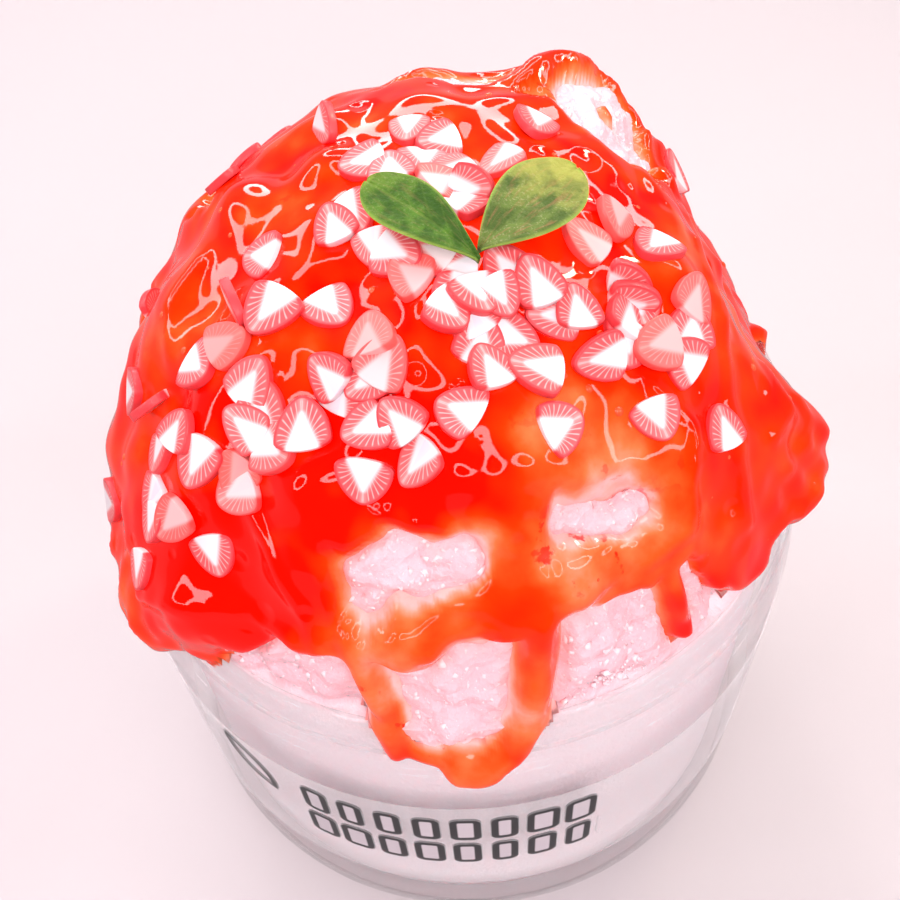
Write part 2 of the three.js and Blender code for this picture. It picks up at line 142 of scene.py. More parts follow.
def ripple(points, wavelength, seed, count=30):
    # sum of cosine waves of near wavelengths in random directions, with a mean square of one
    draw = np.random.default_rng(seed)
    ways = draw.normal(size=(count, 3))
    lengths = wavelength * draw.uniform(noise["shortest"], noise["longest"], (count, 1))
    ways *= 2 * np.pi / (lengths * np.linalg.norm(ways, axis=1)[:, None])
    return np.cos(points @ ways.T + draw.uniform(0, 2 * np.pi, count)).sum(axis=1) * np.sqrt(2 / count)


def clumps(points, cell, seed):
    # rounded lumps: one minus the squared distance to the nearest of the scattered points
    scaled = points / cell
    base = np.floor(scaled)
    nearest = np.full(len(points), np.inf)
    for step in np.ndindex(3, 3, 3):
        corner = base + np.array(step) - 1
        spot = corner + 0.5
        for axis, factors in enumerate(noise["factors"]):
            jitter = np.sin(corner @ np.array(factors) + seed) * noise["gain"]
            spot[:, axis] += noise["reach"] * (jitter - np.floor(jitter) - 0.5)
        nearest = np.minimum(nearest, ((spot - scaled) ** 2).sum(axis=1))
    return 1 - nearest


# shader maths

class Value:
    # one output socket; arithmetic on it adds Math nodes to its look
    def __init__(self, look, socket):
        self.look, self.socket = look, socket

    def output(self, number):
        # another output of the same node
        return Value(self.look, self.socket.node.outputs[number])

    def __add__(self, other):
        return self.look.maths("ADD", self, other)

    __radd__ = __add__

    def __mul__(self, other):
        return self.look.maths("MULTIPLY", self, other)

    __rmul__ = __mul__

    def __sub__(self, other):
        return self.look.maths("SUBTRACT", self, other)

    def __rsub__(self, other):
        return self.look.maths("SUBTRACT", other, self)

    def __truediv__(self, other):
        return self.look.maths("DIVIDE", self, other)

    def __pow__(self, other):
        return self.look.maths("POWER", self, other)

    def __abs__(self):
        return self.look.maths("ABSOLUTE", self)

    def most(self, other):
        return self.look.maths("MAXIMUM", self, other)

    def step(self, low, high):
        # smooth rise from 0 at low to 1 at high
        return self.look.add("ShaderNodeMapRange", {"interpolation_type": "SMOOTHSTEP"},
                             {"Value": self, "From Min": low, "From Max": high})


class Look:
    # a material or world in the making
    def __init__(self, name, world=False):
        self.owner = (bpy.data.worlds if world else bpy.data.materials).new(name)
        self.owner.use_nodes = True
        self.tree = self.owner.node_tree
        self.tree.nodes.clear()

    def add(self, kind, settings=None, sockets=None, out=0):
        # any node: its settings first, then the values or links of its sockets
        node = self.tree.nodes.new(kind)
        for key, value in (settings or {}).items():
            if key == "stops":
                for at, (place, colour) in enumerate(value):
                    stops = node.color_ramp.elements
                    stop = stops[at] if at < len(stops) else stops.new(place)
                    stop.position, stop.color = place, (*colour, 1)
            else:
                setattr(node, key, value)
        for key, value in (sockets or {}).items():
            if isinstance(value, Value):
                self.tree.links.new(value.socket, node.inputs[key])
            elif isinstance(value, tuple) and len(value) == 3 and node.inputs[key].type == "RGBA":
                node.inputs[key].default_value = (*value, 1)
            else:
                node.inputs[key].default_value = value
        return Value(self, node.outputs[out]) if node.outputs else None

    def maths(self, operation, *inputs):
        return self.add("ShaderNodeMath", {"operation": operation}, dict(enumerate(inputs)))

    def mix(self, factor, first, second):
        # colours blended by a factor; its three colour sockets are numbers 0, 6 and 7
        return self.add("ShaderNodeMix", {"data_type": "RGBA"}, {0: factor, 6: first, 7: second}, out=2)

    def place(self):
        return self.add("ShaderNodeTexCoord", out=3)

    def noise(self, scale, detail=2.0, place=None):
        return self.add("ShaderNodeTexNoise", None,
                        {"Vector": place or self.place(), "Scale": scale, "Detail": detail})

    def attribute(self, name):
        return self.add("ShaderNodeAttribute", {"attribute_name": name}, out=2)

    def bump(self, height, distance, strength=1.0):
        return self.add("ShaderNodeBump", None,
                        {"Height": height, "Distance": distance, "Strength": strength})

    def surface(self, sockets):
        shader = self.add("ShaderNodeBsdfPrincipled", None, sockets)
        self.add("ShaderNodeOutputMaterial", None, {"Surface": shader})
        return self.owner


# camera, light and floor

studio = {
    "eye": (0.0, -92.443, 175.823), "lens": 44.0, "near": 0.01, "far": 10.0,  # the last two in metres
    "right": (0.9977, -0.0507, -0.0459), "up": (0.0682, 0.7922, 0.6065), "back": (0.0056, -0.6082, 0.7938),
    "tent": (0.2, 0.184, 0.19), "roof": (0.05, 0.046, 0.047), "ground": (0.4, 0.36, 0.37),
    "roofFrom": 76.0, "roofTo": 56.0,  # degrees from the line of sight
    "horizonBlur": 0.02,
    # ring lamps: azimuth and height of their middles, the half angles of every ring and its blur
    "rings": [(270, 52), (203, 36), (337, 36), (90, 62), (146, 32), (40, 32), (94, 20)],
    "ringInner": 11.2, "ringOuter": 15.0, "ringBlur": 0.4, "ringGlow": (10.0, 9.6, 9.75),
    "floorRadius": 2000.0, "floorBend": 600.0, "bendSteps": 13, "floorSides": 96,
    "floorColour": (0.47, 0.415, 0.43), "floorTint": (0.51, 0.455, 0.47), "floorPatches": 3.0,
    # place, size, watts, colour, seen in reflections
    "lamps": {
        "frontLamp": ((60, -300, 400), 300, 1.55, (1.0, 0.97, 0.98), False),
        "backLamp": ((-160, 200, 420), 300, 1.0, (1.0, 0.96, 0.97), False),
        "smallLamp": ((150, 120, 260), 30, 0.14, (1.0, 0.94, 0.66), True),
    },
}


def makeCamera():
    camera = bpy.data.objects.new("camera", bpy.data.cameras.new("camera"))
    camera.data.lens = studio["lens"]
    camera.data.clip_start, camera.data.clip_end = studio["near"], studio["far"]
    turn = Matrix([studio["right"], studio["up"], studio["back"]]).transposed().to_4x4()
    turn.translation = [length / metre for length in studio["eye"]]
    camera.matrix_world = turn
    bpy.context.scene.collection.objects.link(camera)
    bpy.context.scene.camera = camera


def makeTent():
    # a pale tent whose roof round the lens is dark, with thin ring lamps in it
    look = Look("tent", world=True)
    way = look.add("ShaderNodeTexCoord", out=0)
    nearLens = cosineTo(look, way, studio["back"]).step(*cosines("roofFrom", "roofTo"))
    colour = look.mix(nearLens, studio["tent"], studio["roof"])
    below = cosineTo(look, way, (0.0, 0.0, -1.0)).step(-studio["horizonBlur"], studio["horizonBlur"])
    colour = look.mix(below, colour, studio["ground"])  # only reflections see it, as the floor hides it
    for azimuth, height in studio["rings"]:
        middle = cosineTo(look, way, tuple(direction(azimuth, 90 - height).tolist()))
        band = middle.step(*cosines("ringOuter", "ringOuter", studio["ringBlur"]))
        hole = middle.step(*cosines("ringInner", "ringInner", studio["ringBlur"]))
        colour = look.mix(band - hole, colour, studio["ringGlow"])
    shader = look.add("ShaderNodeBackground", None, {"Color": colour, "Strength": 1.0})
    look.add("ShaderNodeOutputWorld", None, {"Surface": shader})
    bpy.context.scene.world = look.owner


def cosineTo(look, way, middle):
    return look.add("ShaderNodeVectorMath", {"operation": "DOT_PRODUCT"}, {0: way, 1: middle}, out=1)


def cosines(outer, inner, blur=0.0):
    # of two half angles of the studio, spread apart by a blur
    return np.cos(np.radians([studio[outer] + blur, studio[inner] - blur])).tolist()


def makeLamps():
    # square lamps turned to the heap
    for name, (place, size, power, colour, glossy) in studio["lamps"].items():
        lamp = bpy.data.lights.new(name, "AREA")
        lamp.size, lamp.energy, lamp.color = size / metre, power, colour
        holder = bpy.data.objects.new(name, lamp)
        holder.location = Vector(place) / metre
        away = holder.location - Vector(heapCentre) / metre
        holder.rotation_euler = away.to_track_quat("Z", "Y").to_euler()
        holder.visible_camera, holder.visible_glossy, holder.visible_transmission = False, glossy, glossy
        bpy.context.scene.collection.objects.link(holder)


def makeFloor():
    # a disc whose rim curves up a quarter turn into a backdrop
    sides, bend = studio["floorSides"], studio["floorBend"]
    around = np.linspace(0, 2 * np.pi, sides, endpoint=False)
    turn = np.linspace(0, np.pi / 2, studio["bendSteps"])
    radius = studio["floorRadius"] + bend * np.sin(turn)[:, None]
    height = bend * (1 - np.cos(turn))[:, None]
    points = np.stack([radius * np.cos(around), radius * np.sin(around), height + 0 * around], axis=2)
    look = Look("floor")
    colour = look.mix(look.noise(studio["floorPatches"]), studio["floorColour"], studio["floorTint"])
    look.surface({"Base Color": colour, "Roughness": 0.6})
    mesh = bpy.data.meshes.new("floor")
    faces = [list(range(sides))] + gridFaces(studio["bendSteps"], sides, wrapped=True)[:, ::-1].tolist()
    mesh.from_pydata(points.reshape(-1, 3) / metre, [], faces)
    mesh.polygons.foreach_set("use_smooth", [False] + [True] * (len(faces) - 1))
    mesh.materials.append(look.owner)
    floor = bpy.data.objects.new("floor", mesh)
    floor.visible_glossy = False
    bpy.context.scene.collection.objects.link(floor)


makeCamera()
makeTent()
makeLamps()
makeFloor()
bpy.context.scene.view_settings.view_transform = "Standard"
print("camera, light and floor are in place")


# the heap, a surface seen from a centre level with the lip

heap = {
    "spread": 42.3, "rise": 38.6, "meanRadius": 44.0, "boxMargin": 0.1, "boxEase": 1.0,
    # azimuth, polar angle, spread, height
    "mounds": [
        (342, 86, 16, 1.6), (5, 67, 20, -5.0), (28, 56, 14, -2.2), (50, 47, 15, 4.3), (55, 44, 8, 1.6),
        (92, 42, 20, 2.6), (174, 66, 18, -1.6), (215, 92, 17, 3.0), (268, 94, 12, 3.6),
    ],
}


def polarOf(units):
    return np.degrees(np.arccos(np.clip(units[:, 2], -1, 1)))


def moundsAt(mounds, units):
    # sum of height times exp of minus the squared angle over the spread
    height = np.zeros(len(units))
    for azimuth, polar, spread, rise in mounds:
        angle = np.arccos(np.clip(units @ direction(azimuth, polar), -1, 1)) / np.radians(spread)
        height += rise * np.exp(-angle * angle)
    return height


def heapRadius(units):
    # an ellipsoid of the heap's spread and rise, with the mounds on it
    flat = np.hypot(units[:, 0], units[:, 1]) / heap["spread"]
    return 1 / np.hypot(flat, units[:, 2] / heap["rise"]) + moundsAt(heap["mounds"], units)


def insideBand(units, path, halfWidth):
    # how far a direction lies inside a band round a path, in millimetres along the surface
    places = [direction(*place) for place in path]
    nearest = np.full(len(units), np.inf)
    for start, end in zip(places[:-1], places[1:]):
        leg = end - start
        share = np.clip((units - start) @ leg / (leg @ leg), 0, 1)[:, None]
        nearest = np.minimum(nearest, np.linalg.norm(start + share * leg - units, axis=1))
    return halfWidth - nearest * heap["meanRadius"]


# red gel

gel = {
    "thickness": 1.6, "edge": 2.4, "dive": 1.3, "sink": 1.8, "fillet": 0.8, "neckGap": 0.1,
    "grid": 232, "lowest": 104, "weld": 0.02, "normalStep": 0.05,
    "lip": (86.5, 89.8),  # polar angles between which it passes from the heap to the jar's neck
    # its lower edge: azimuth and polar angle
    "skirt": [
        (0, 86), (30, 80), (58, 84), (90, 79), (118, 86), (150, 80), (180, 81), (198, 90), (214, 97),
        (226, 93), (235, 82), (243, 76.5), (250, 76), (257, 75), (266, 73.5), (275, 72), (290, 71),
        (300, 71.5), (306, 73), (311, 82), (316, 85.5), (322, 87), (326, 84), (333, 88), (341, 89), (350, 87),
    ],
    # runs below it and bare places in it: path of azimuths and polar angles, half width
    "runs": [
        ([(252, 71), (254, 76), (256, 81), (257.5, 87), (258.5, 94.5)], 1.9),
        ([(258.5, 94.5), (264, 94.5), (270, 95.5)], 1.2), ([(267.5, 95.5), (272, 95.5)], 2.6),
        ([(280.5, 69), (280, 75), (279, 81), (278, 87), (275.5, 92.5), (270, 96)], 2.4),
        ([(301, 64), (303, 76), (304, 85)], 1.5), ([(152, 74), (153, 84), (155, 93)], 1.9),
        ([(101, 74), (102, 84), (101, 95)], 2.1), ([(16, 78), (15, 86), (14, 95)], 1.8),
    ],
    "bares": [
        ([(255, 64), (260, 60), (268, 59)], 3.7), ([(287, 57), (301, 59)], 2.3), ([(48, 36), (30, 38)], 4.2),
        ([(46, 43), (32, 45)], 4.0), ([(92, 36), (74, 37)], 3.0), ([(147, 52), (152, 49)], 1.6),
        ([(169, 67), (174, 63)], 1.7),
    ],
    # thicker places: azimuth, polar angle, spread, height
    "lobes": [
        (335, 82, 10, 1.5), (346, 80, 9, 1.5), (214, 92, 12, 1.2), (224, 80, 9, 0.8), (60, 38, 6, 1.6),
    ],
    # wavelength, height and seed of the unevenness of its surface, its outline, its bare places and its depth
    "waves": [(14.0, 0.42, 98), (8.0, 0.22, 56), (5.0, 0.05, 35)], "ragged": [(9.0, 0.7, 90), (3.5, 0.3, 35)],
    "torn": [(6.5, 0.8, 58), (3.0, 0.2, 27)], "clouded": [(11.0, 0.13, 31), (4.0, 0.07, 32)],
    "waveDepths": (0.2, 1.6),  # depths between which waves and folds set in
    # folds: path, half width, height
    "folds": [
        ([(1, 46), (342, 47), (333, 51), (327, 56), (321, 63), (318, 72)], 1.3, 0.8),
        ([(313, 45), (316, 53), (310, 59), (308, 65), (299, 67)], 0.9, 0.5),
        ([(218, 81), (225, 76), (231, 74), (237, 73), (244, 74)], 1.1, 0.6),
        ([(232, 57), (238, 61), (242, 65), (246, 69), (248, 74)], 1.1, 0.5),
        ([(342, 62), (336, 66), (330, 66)], 0.9, 0.6), ([(344, 72), (337, 74), (330, 73)], 0.9, 0.6),
        ([(338, 80), (332, 82), (326, 80)], 0.9, 0.5), ([(182, 40), (190, 46), (200, 50)], 1.2, 0.5),
    ],
    # rougher places: azimuth, polar angle, spread, wavelength and height of the lumps
    "lumpy": [
        (36, 50, 14, 3.4, 0.3), (20, 60, 12, 4.0, 0.3), (337, 80, 13, 4.6, 0.4), (215, 88, 12, 4.2, 0.3),
    ],
    # where its colour is shallower or deeper: azimuth, polar angle, spread, millimetres of depth
    "pales": [
        (170, 32, 24, -0.12), (62, 30, 14, -0.15), (350, 50, 14, -0.3), (284, 49, 5, -0.3),
        (296, 50, 9, -0.6), (308, 60, 10, -0.1), (300, 68, 9, -0.3), (255, 72, 9, -0.7), (296, 64, 7, -0.4),
        (284, 68, 8, -0.4), (271, 67, 9, -0.4), (255, 82, 9, -0.65), (279, 84, 8, -0.8), (268, 96, 10, -0.55),
        (335, 66, 14, -0.05), (193, 52, 9, -0.12), (214, 92, 10, -0.5), (293, 40, 4, -0.8),
        (285, 42, 4, -0.7), (271, 55, 4, -0.8), (300, 52, 5, -0.15), (256, 40, 10, 0.5), (240, 68, 14, 0.6),
        (222, 78, 9, 0.5), (272, 47, 9, 0.35),
    ],
    # the seen depth nears its full value over "shallow" by the bare places and over "keen" elsewhere
    "fullDepth": 1.45, "shallow": 0.75, "keen": 0.4, "soft": 0.25, "nearBare": (-5.0, -1.5),
    # depth in millimetres and the colour seen through it
    "deepest": 3.0,
    "tones": [
        (0.0, (1.0, 0.42, 0.4)), (0.3, (1.0, 0.25, 0.16)), (0.6, (1.0, 0.14, 0.045)),
        (0.9, (1.0, 0.075, 0.012)), (1.2, (1.0, 0.03, 0.001)), (1.6, (1.0, 0.003, 0.0)),
        (3.0, (0.8, 0.001, 0.0)),
    ],
    "shallowTones": (0.7, 1.5),  # clouds weaken and flecks end between these depths
    "clouds": [(120.0, 0.9), (520.0, 0.5)], "deepCloud": 0.25,  # cells in a metre and height; share when deep
    "fleck": (0.9, 0.002, 0.0), "fleckShare": 0.85,
    # small dents: cells in a metre, share of them with one, least and most radius in cells, depth
    "dentCells": 210.0, "dentShare": 0.55, "dentSmall": 0.2, "dentLarge": 0.46, "dentDepth": 0.3,
}


def skirtPolar(azimuth):
    # polar angle of the coat's lower edge, eased from one named place to the next
    places = np.array([(gel["skirt"][-1][0] - 360, gel["skirt"][-1][1]), *gel["skirt"],
                       (gel["skirt"][0][0] + 360, gel["skirt"][0][1])], float)
    after = np.clip(np.searchsorted(places[:, 0], azimuth), 1, len(places) - 1)
    start, end = places[after - 1], places[after]
    return start[:, 1] + (end[:, 1] - start[:, 1]) * smoothStep(start[:, 0], end[:, 0], azimuth)


def insideCoat(units):
    # distance inside the coat's outline: above the skirt and off the bare places
    azimuth = np.degrees(np.arctan2(units[:, 1], units[:, 0])) % 360
    inside = np.radians(skirtPolar(azimuth) - polarOf(units)) * heap["meanRadius"]
    inside = inside + unevenness(units, "ragged")
    torn = unevenness(units, "torn")
    for path, halfWidth in gel["bares"]:
        inside = np.minimum(inside, torn - insideBand(units, path, halfWidth))
    return inside


def insideGel(units):
    # distance inside the coat or a run
    return np.maximum.reduce([insideCoat(units), *(insideBand(units, *run) for run in gel["runs"])])


def unevenness(units, key):
    # sum of ripples over the heap by the gel's wavelengths, heights and seeds
    places = units * heap["meanRadius"]
    return sum(height * ripple(places, wavelength, seed) for wavelength, height, seed in gel[key])


def bank(inside, full, width):
    # a parabola from the edge up to the full depth, and a slope that dives outside the edge
    return full * (1 - (1 - np.clip(inside / width, 0, 1)) ** 2) + gel["dive"] * np.minimum(inside, 0)


def gelDepth(units):
    # the coat's bank, with each run's bank joined to it by a soft fillet
    depth = bank(insideCoat(units), gel["thickness"] + moundsAt(gel["lobes"], units), gel["edge"])
    for path, halfWidth in gel["runs"]:
        run = bank(insideBand(units, path, halfWidth), halfWidth, halfWidth)
        near = np.clip(0.5 + 0.5 * (depth - run) / gel["fillet"], 0, 1)
        depth = run + (depth - run) * near + gel["fillet"] * near * (1 - near)
    return depth


def neckReach(polar, proud=0.0):
    # how far the jar's neck is from the centre, with the sine held up well above the lip
    return (jar["neckRadius"] + proud) / np.maximum(np.sin(np.radians(polar)), 0.5)


def carrierRadius(units):
    # what the gel lies on: the heap, and from the lip down the jar's neck where that stands further out
    polar, heapPart = polarOf(units), heapRadius(units)
    return heapPart + smoothStep(*gel["lip"], polar) * np.maximum(neckReach(polar) - heapPart, 0)


def gelRadius(units):
    # the carrier plus the gel's depth, with waves, folds and lumps where it is deep enough to hold them
    depth = gelDepth(units)
    held = smoothStep(*gel["waveDepths"], depth)
    radius = carrierRadius(units) + depth + held * unevenness(units, "waves")
    for path, halfWidth, height in gel["folds"]:
        away = (halfWidth - insideBand(units, path, halfWidth)) / halfWidth
        radius = radius + held * height * np.exp(-away * away)
    for azimuth, polar, spread, wavelength, height in gel["lumpy"]:
        lumpy = ripple(units * heap["meanRadius"], wavelength, azimuth)  # the azimuth is its seed too
        radius = radius + held * moundsAt([(azimuth, polar, spread, height)], units) * lumpy
    return withinBox(units, radius)


def withinBox(units, radius):
    # eased to stay inside the solids' box
    ease = heap["boxEase"]
    limit = 1 / np.maximum(units / boxHigh, units / boxLow).max(axis=1) - heap["boxMargin"] - ease
    return np.where(radius > limit, limit + ease * np.tanh((radius - limit) / ease), radius)


def discDirections(count, lowest):
    # square grid laid on a disc by concentric squares, and the disc on the sphere down to a polar angle
    side = np.linspace(-1, 1, count)
    across, along = np.meshgrid(side, side, indexing="ij")
    wide = np.abs(across) > np.abs(along)
    reach = np.where(wide, across, along)
    share = np.divide(np.where(wide, along, across), reach, out=np.zeros_like(reach), where=reach != 0)
    angle = np.where(wide, 45 * share, 90 - 45 * share) + np.where(reach < 0, 180, 0)
    return direction(angle.ravel(), (np.abs(reach) * lowest).ravel())


def gelInner(units):
    # the sheet's inner face: sunk in the snow, and from the lip down just off the jar's neck
    polar = polarOf(units)
    sunk = carrierRadius(units) - gel["sink"]
    return sunk + (neckReach(polar, gel["neckGap"]) - sunk) * smoothStep(*gel["lip"], polar)


def seenDepth(units):
    # the depth that gives the colour: the real one, soon full, less the pale places, a little uneven
    bares = [smoothStep(*gel["nearBare"], insideBand(units, *bare)) for bare in gel["bares"]]
    nearBare = np.maximum.reduce(bares)
    shallow = gel["keen"] + (gel["shallow"] - gel["keen"]) * nearBare
    real = gelDepth(units) + gel["keen"] * (1 - nearBare)
    real = (real + np.sqrt(real ** 2 + gel["soft"])) / 2  # eased to nothing
    depth = gel["fullDepth"] * (1 - np.exp(-real / shallow)) + moundsAt(gel["pales"], units)
    return np.maximum(depth + unevenness(units, "clouded"), 0.0)


def gelLook():
    # the tones over the seen depth, clouded by two noises, with deep red flecks where it is shallow
    look = Look("gel")
    depth = look.attribute("depth")
    shallow = 1.0 - depth.step(*gel["shallowTones"])
    large, small = ((look.noise(cells, 3.0) - 0.5) * height for cells, height in gel["clouds"])
    seen = depth + (large + small) * (gel["deepCloud"] + (1 - gel["deepCloud"]) * shallow)
    stops = [(place / gel["deepest"], colour) for place, colour in gel["tones"]]
    tone = look.add("ShaderNodeValToRGB", {"stops": stops}, {0: seen / gel["deepest"]})
    fleck = look.noise(430.0, 4.0).step(0.6, 0.66) * look.noise(75.0).step(0.5, 0.62) * shallow
    # dents: one minus the squared distance from a cell's middle over its radius, squared
    cell = look.add("ShaderNodeTexVoronoi", None, {"Vector": look.place(), "Scale": gel["dentCells"]})
    chance = look.add("ShaderNodeSeparateColor", None, {0: cell.output(1)})
    reach = chance.output(1) * (gel["dentLarge"] - gel["dentSmall"]) + gel["dentSmall"]
    share = gel["dentShare"]
    dent = (1.0 - (cell / reach) ** 2.0).most(0.0) ** 2.0 * chance.step(share, share - 0.01)
    relief = look.noise(240.0, 2.0) * 0.12 - dent
    colour = look.mix(fleck * gel["fleckShare"], tone, gel["fleck"])
    return look.surface({"Base Color": colour, "Roughness": 0.02, "IOR": 1.38,
                         "Normal": look.bump(relief, gel["dentDepth"] / metre)})


def makeGel():
    # outer and inner face on one grid, welded where the gel has no depth
    units = discDirections(gel["grid"], gel["lowest"])
    outer, inner = gelRadius(units), gelInner(units)
    deep = outer > inner + gel["weld"]
    quads = gridFaces(gel["grid"], gel["grid"])
    kept = quads[deep[quads].any(axis=1)]
    points = np.concatenate([units * np.where(deep, outer, inner)[:, None], units * inner[:, None]])
    points = points + heapCentre
    innerIndex = np.where(deep, np.arange(len(units)) + len(units), np.arange(len(units)))
    faces = np.concatenate([kept[:, ::-1], innerIndex[kept]])
    used, faces = np.unique(faces, return_inverse=True)
    depth = np.tile(seenDepth(units), 2)
    addPiece("gel_coat", points[used], [faces.reshape(-1, 4)], gelLook(), ["gel"],
             attributes={"depth": depth[used]})


bubbles = {
    "count": 130, "draws": 390, "small": 0.18, "large": 0.55, "fewLarge": 3, "seed": 5,
    "flat": 0.6, "sink": 0.12, "under": 0.05, "rings": 5, "sides": 16,
}


def makeBubbles():
    # small domes on the gel: each a flattened half ball about the gel's normal, closed underneath
    draw = np.random.default_rng(bubbles["seed"])
    azimuth, height = draw.uniform(0, 360, bubbles["draws"]), draw.uniform(0, 1, bubbles["draws"])
    units = direction(azimuth, np.degrees(np.arccos(height)))
    units = units[insideCoat(units) > gel["edge"]][:bubbles["count"]]
    share = draw.uniform(0, 1, len(units)) ** bubbles["fewLarge"]
    size = bubbles["small"] + (bubbles["large"] - bubbles["small"]) * share
    normal = gelNormal(units)
    side = unitOf(np.cross(normal, [0.3, 0.2, 1.0]))  # any way but the normal's
    axes = np.stack([side, np.cross(normal, side), normal], axis=1)
    rings, sides, flat = bubbles["rings"], bubbles["sides"], bubbles["flat"]
    turn = np.arange(sides) * 2 * np.pi / sides
    rise = np.linspace(0, np.pi / 2, rings + 1)[:-1]
    rise, turn = (grid.ravel() for grid in np.meshgrid(rise, turn, indexing="ij"))
    dome = np.stack([np.cos(rise) * np.cos(turn), np.cos(rise) * np.sin(turn), flat * np.sin(rise)], axis=1)
    dome = np.concatenate([dome, [[0, 0, -bubbles["under"]], [0, 0, flat]]])
    foot = units * gelRadius(units)[:, None] + heapCentre - normal * bubbles["sink"]
    points = foot[:, None] + size[:, None, None] * np.einsum("pk,nkc->npc", dome, axes)
    depth = np.repeat(seenDepth(units), len(dome))
    addPiece("gel_bubbles", points.reshape(-1, 3), copiesOf(closedFaces(rings, sides), len(units), len(dome)),
             bpy.data.materials["gel"], attributes={"depth": depth})


# snow

snow = {
    "level": 61.2, "columns": 440, "wallSink": 0.2, "floor": 2.2, "under": 0.8,
    "colour": (0.9, 0.5, 0.56), "crystal": (0.95, 0.7, 0.75), "stained": (0.98, 0.36, 0.32),
    "paintedWallLight": (0.95, 0.79, 0.83),  # painted light: paler where it lies against the jar, for the light its glass holds back
    # where it bulges over the lip: path and half width, polar angles of its start, least reach past the neck
    "tongue": ([(260.8, 88.4), (272.0, 88.4)], 4.2), "spillFrom": (84.5, 88), "spill": 0.12,
    "spillBlend": 1.2,
    # rows of the grid: polar angle and how many rows lead up to it
    "rows": [(0.4, 1), (36, 30), (93, 150), (100, 12), (126, 14), (180, 18)],
    "clumps": [(6.0, 2.2, 3), (3.4, 1.7, 5), (1.7, 0.7, 8)], "clumpMean": 0.75,  # cell, height, seed
    "coveredLumps": 0.35, "coveredClumps": 0.2,  # what share of them is left under the gel
    "bareBlend": 1.8,  # how far outside the gel they have risen in full
    # level at the wall: half the blend in degrees, wavelength, height and seed of its unevenness
    "levelBlend": 0.6, "levelWave": (6.0, 0.5, 41), "lipBlend": (88.6, 90), "lipClear": 0.2,
    "stainReach": 1.0, "wallBlend": 1.5,
}


def lumps(units):
    # two products of sine waves, the same as in the solids
    x, y, z = units.T
    return (0.45 * np.sin(9 * x + 4 * y + 1) * np.sin(8 * y - 5 * z)
            + 0.35 * np.sin(13 * z + 9 * x) * np.sin(15 * y - 6 * x + 2))


def snowRadius(units):
    # the heap with lumps and clumps, lower under the gel, over the lip at the tongue; then wall and floor
    polar, inside = polarOf(units), insideGel(units)
    bare = 1 - smoothStep(-snow["bareBlend"], 0.0, inside)
    lumpShare, clumpShare = (snow[key] + (1 - snow[key]) * bare for key in ("coveredLumps", "coveredClumps"))
    heapPart = heapRadius(units)
    places = units * heapPart[:, None]
    heapPart = heapPart - snow["under"] * (1 - bare) + lumpShare * lumps(units)
    for cell, height, seed in snow["clumps"]:
        heapPart = heapPart + clumpShare * height * (clumps(places, cell, seed) - snow["clumpMean"])
    innerRadius = jar["neckRadius"] - jar["wall"]
    wallPart = (innerRadius + snow["wallSink"]) / np.maximum(np.sin(np.radians(polar)), 1e-6)
    floorPart = (jarHeight - snow["floor"]) / np.maximum(-units[:, 2], 1e-6)
    below = np.minimum(wallPart, floorPart)
    joined = np.where(polar > 90, np.minimum(heapPart, below), heapPart)
    atWall = np.minimum(joined, wallPart - snow["lipClear"])
    capped = joined + (atWall - joined) * smoothStep(*snow["lipBlend"], polar)
    level = 90 + np.degrees(np.arctan((jarHeight - snow["level"]) / innerRadius))
    wavelength, height, seed = snow["levelWave"]
    uneven = polar + height * ripple(places, wavelength, seed)
    share = smoothStep(level - snow["levelBlend"], level + snow["levelBlend"], uneven)
    settled = capped + (below - capped) * share
    bulge = (jar["neckRadius"] + snow["spill"]) * smoothStep(*snow["spillFrom"], polar)
    spilt = smoothStep(0.0, snow["spillBlend"], insideBand(units, *snow["tongue"]))
    return settled + (np.maximum(heapPart, bulge) - settled) * spilt, inside


def makeSnow():
    # a grid of directions from the top to the bottom, with more rows where the snow shows
    polar = [0.0]
    for end, count in snow["rows"]:
        polar.extend(np.linspace(polar[-1], end, count + 1)[1:])
    polar = np.array(polar)[1:-1]
    azimuth = np.arange(snow["columns"]) * 360 / snow["columns"]
    units = direction(*(angle.ravel() for angle in np.meshgrid(azimuth, polar)))
    units = np.concatenate([units, [[0, 0, 1.0], [0, 0, -1.0]]])
    radius, inside = snowRadius(units)
    stain = np.exp(np.minimum(inside, 0) / snow["stainReach"])
    level, blend = snow["level"], snow["wallBlend"]
    walled = smoothStep(level + blend, level - blend, units[:, 2] * radius + jarHeight)
    faceSets = [faces[:, ::-1] for faces in closedFaces(len(polar), len(azimuth))]
    addPiece("snow_heap", units * radius[:, None] + heapCentre, faceSets, snowLook(), ["ice"],
             attributes={"stain": stain, "walled": walled})


def snowLook():
    # translucent white with fine grain, blotched pink by the gel's edge, and painted paler against the jar as
    # painted light
    look = Look("snow")
    blotch = look.noise(420.0, 3.0).step(0.42, 0.62)
    # painted light: the paler colour where the snow lies against the jar stands in for light that the glass
    # holds back
    base = look.mix(look.attribute("walled"), snow["colour"], snow["paintedWallLight"])
    colour = look.mix(look.attribute("stain") * (0.25 + 0.4 * blotch), base, snow["stained"])
    return look.surface({"Base Color": colour, "Roughness": 0.3, "Subsurface Weight": 0.6,
                         "Subsurface Radius": (1.0, 0.6, 0.6), "Subsurface Scale": 0.0015,
                         "Normal": look.bump(look.noise(1500.0, 4.0), 0.0004, 0.8)})


grains = {
    "draws": 40000, "most": 4200, "small": 0.3, "large": 1.5, "fewLarge": 3.0, "sink": 0.34, "seed": 9,
    "edgeWave": (3.0, 0.5, 17), "clear": 0.5,  # wavelength, height and seed of their edge; gap to the gel
    "clump": (291, 86.5, 3.0, 90, 0.8),  # azimuth, polar angle, spread, count and rise of those on the rim
    "uneven": (0.55, 1.25), "skew": 0.12, "stain": 0.5, "stainReach": 1.6,
}


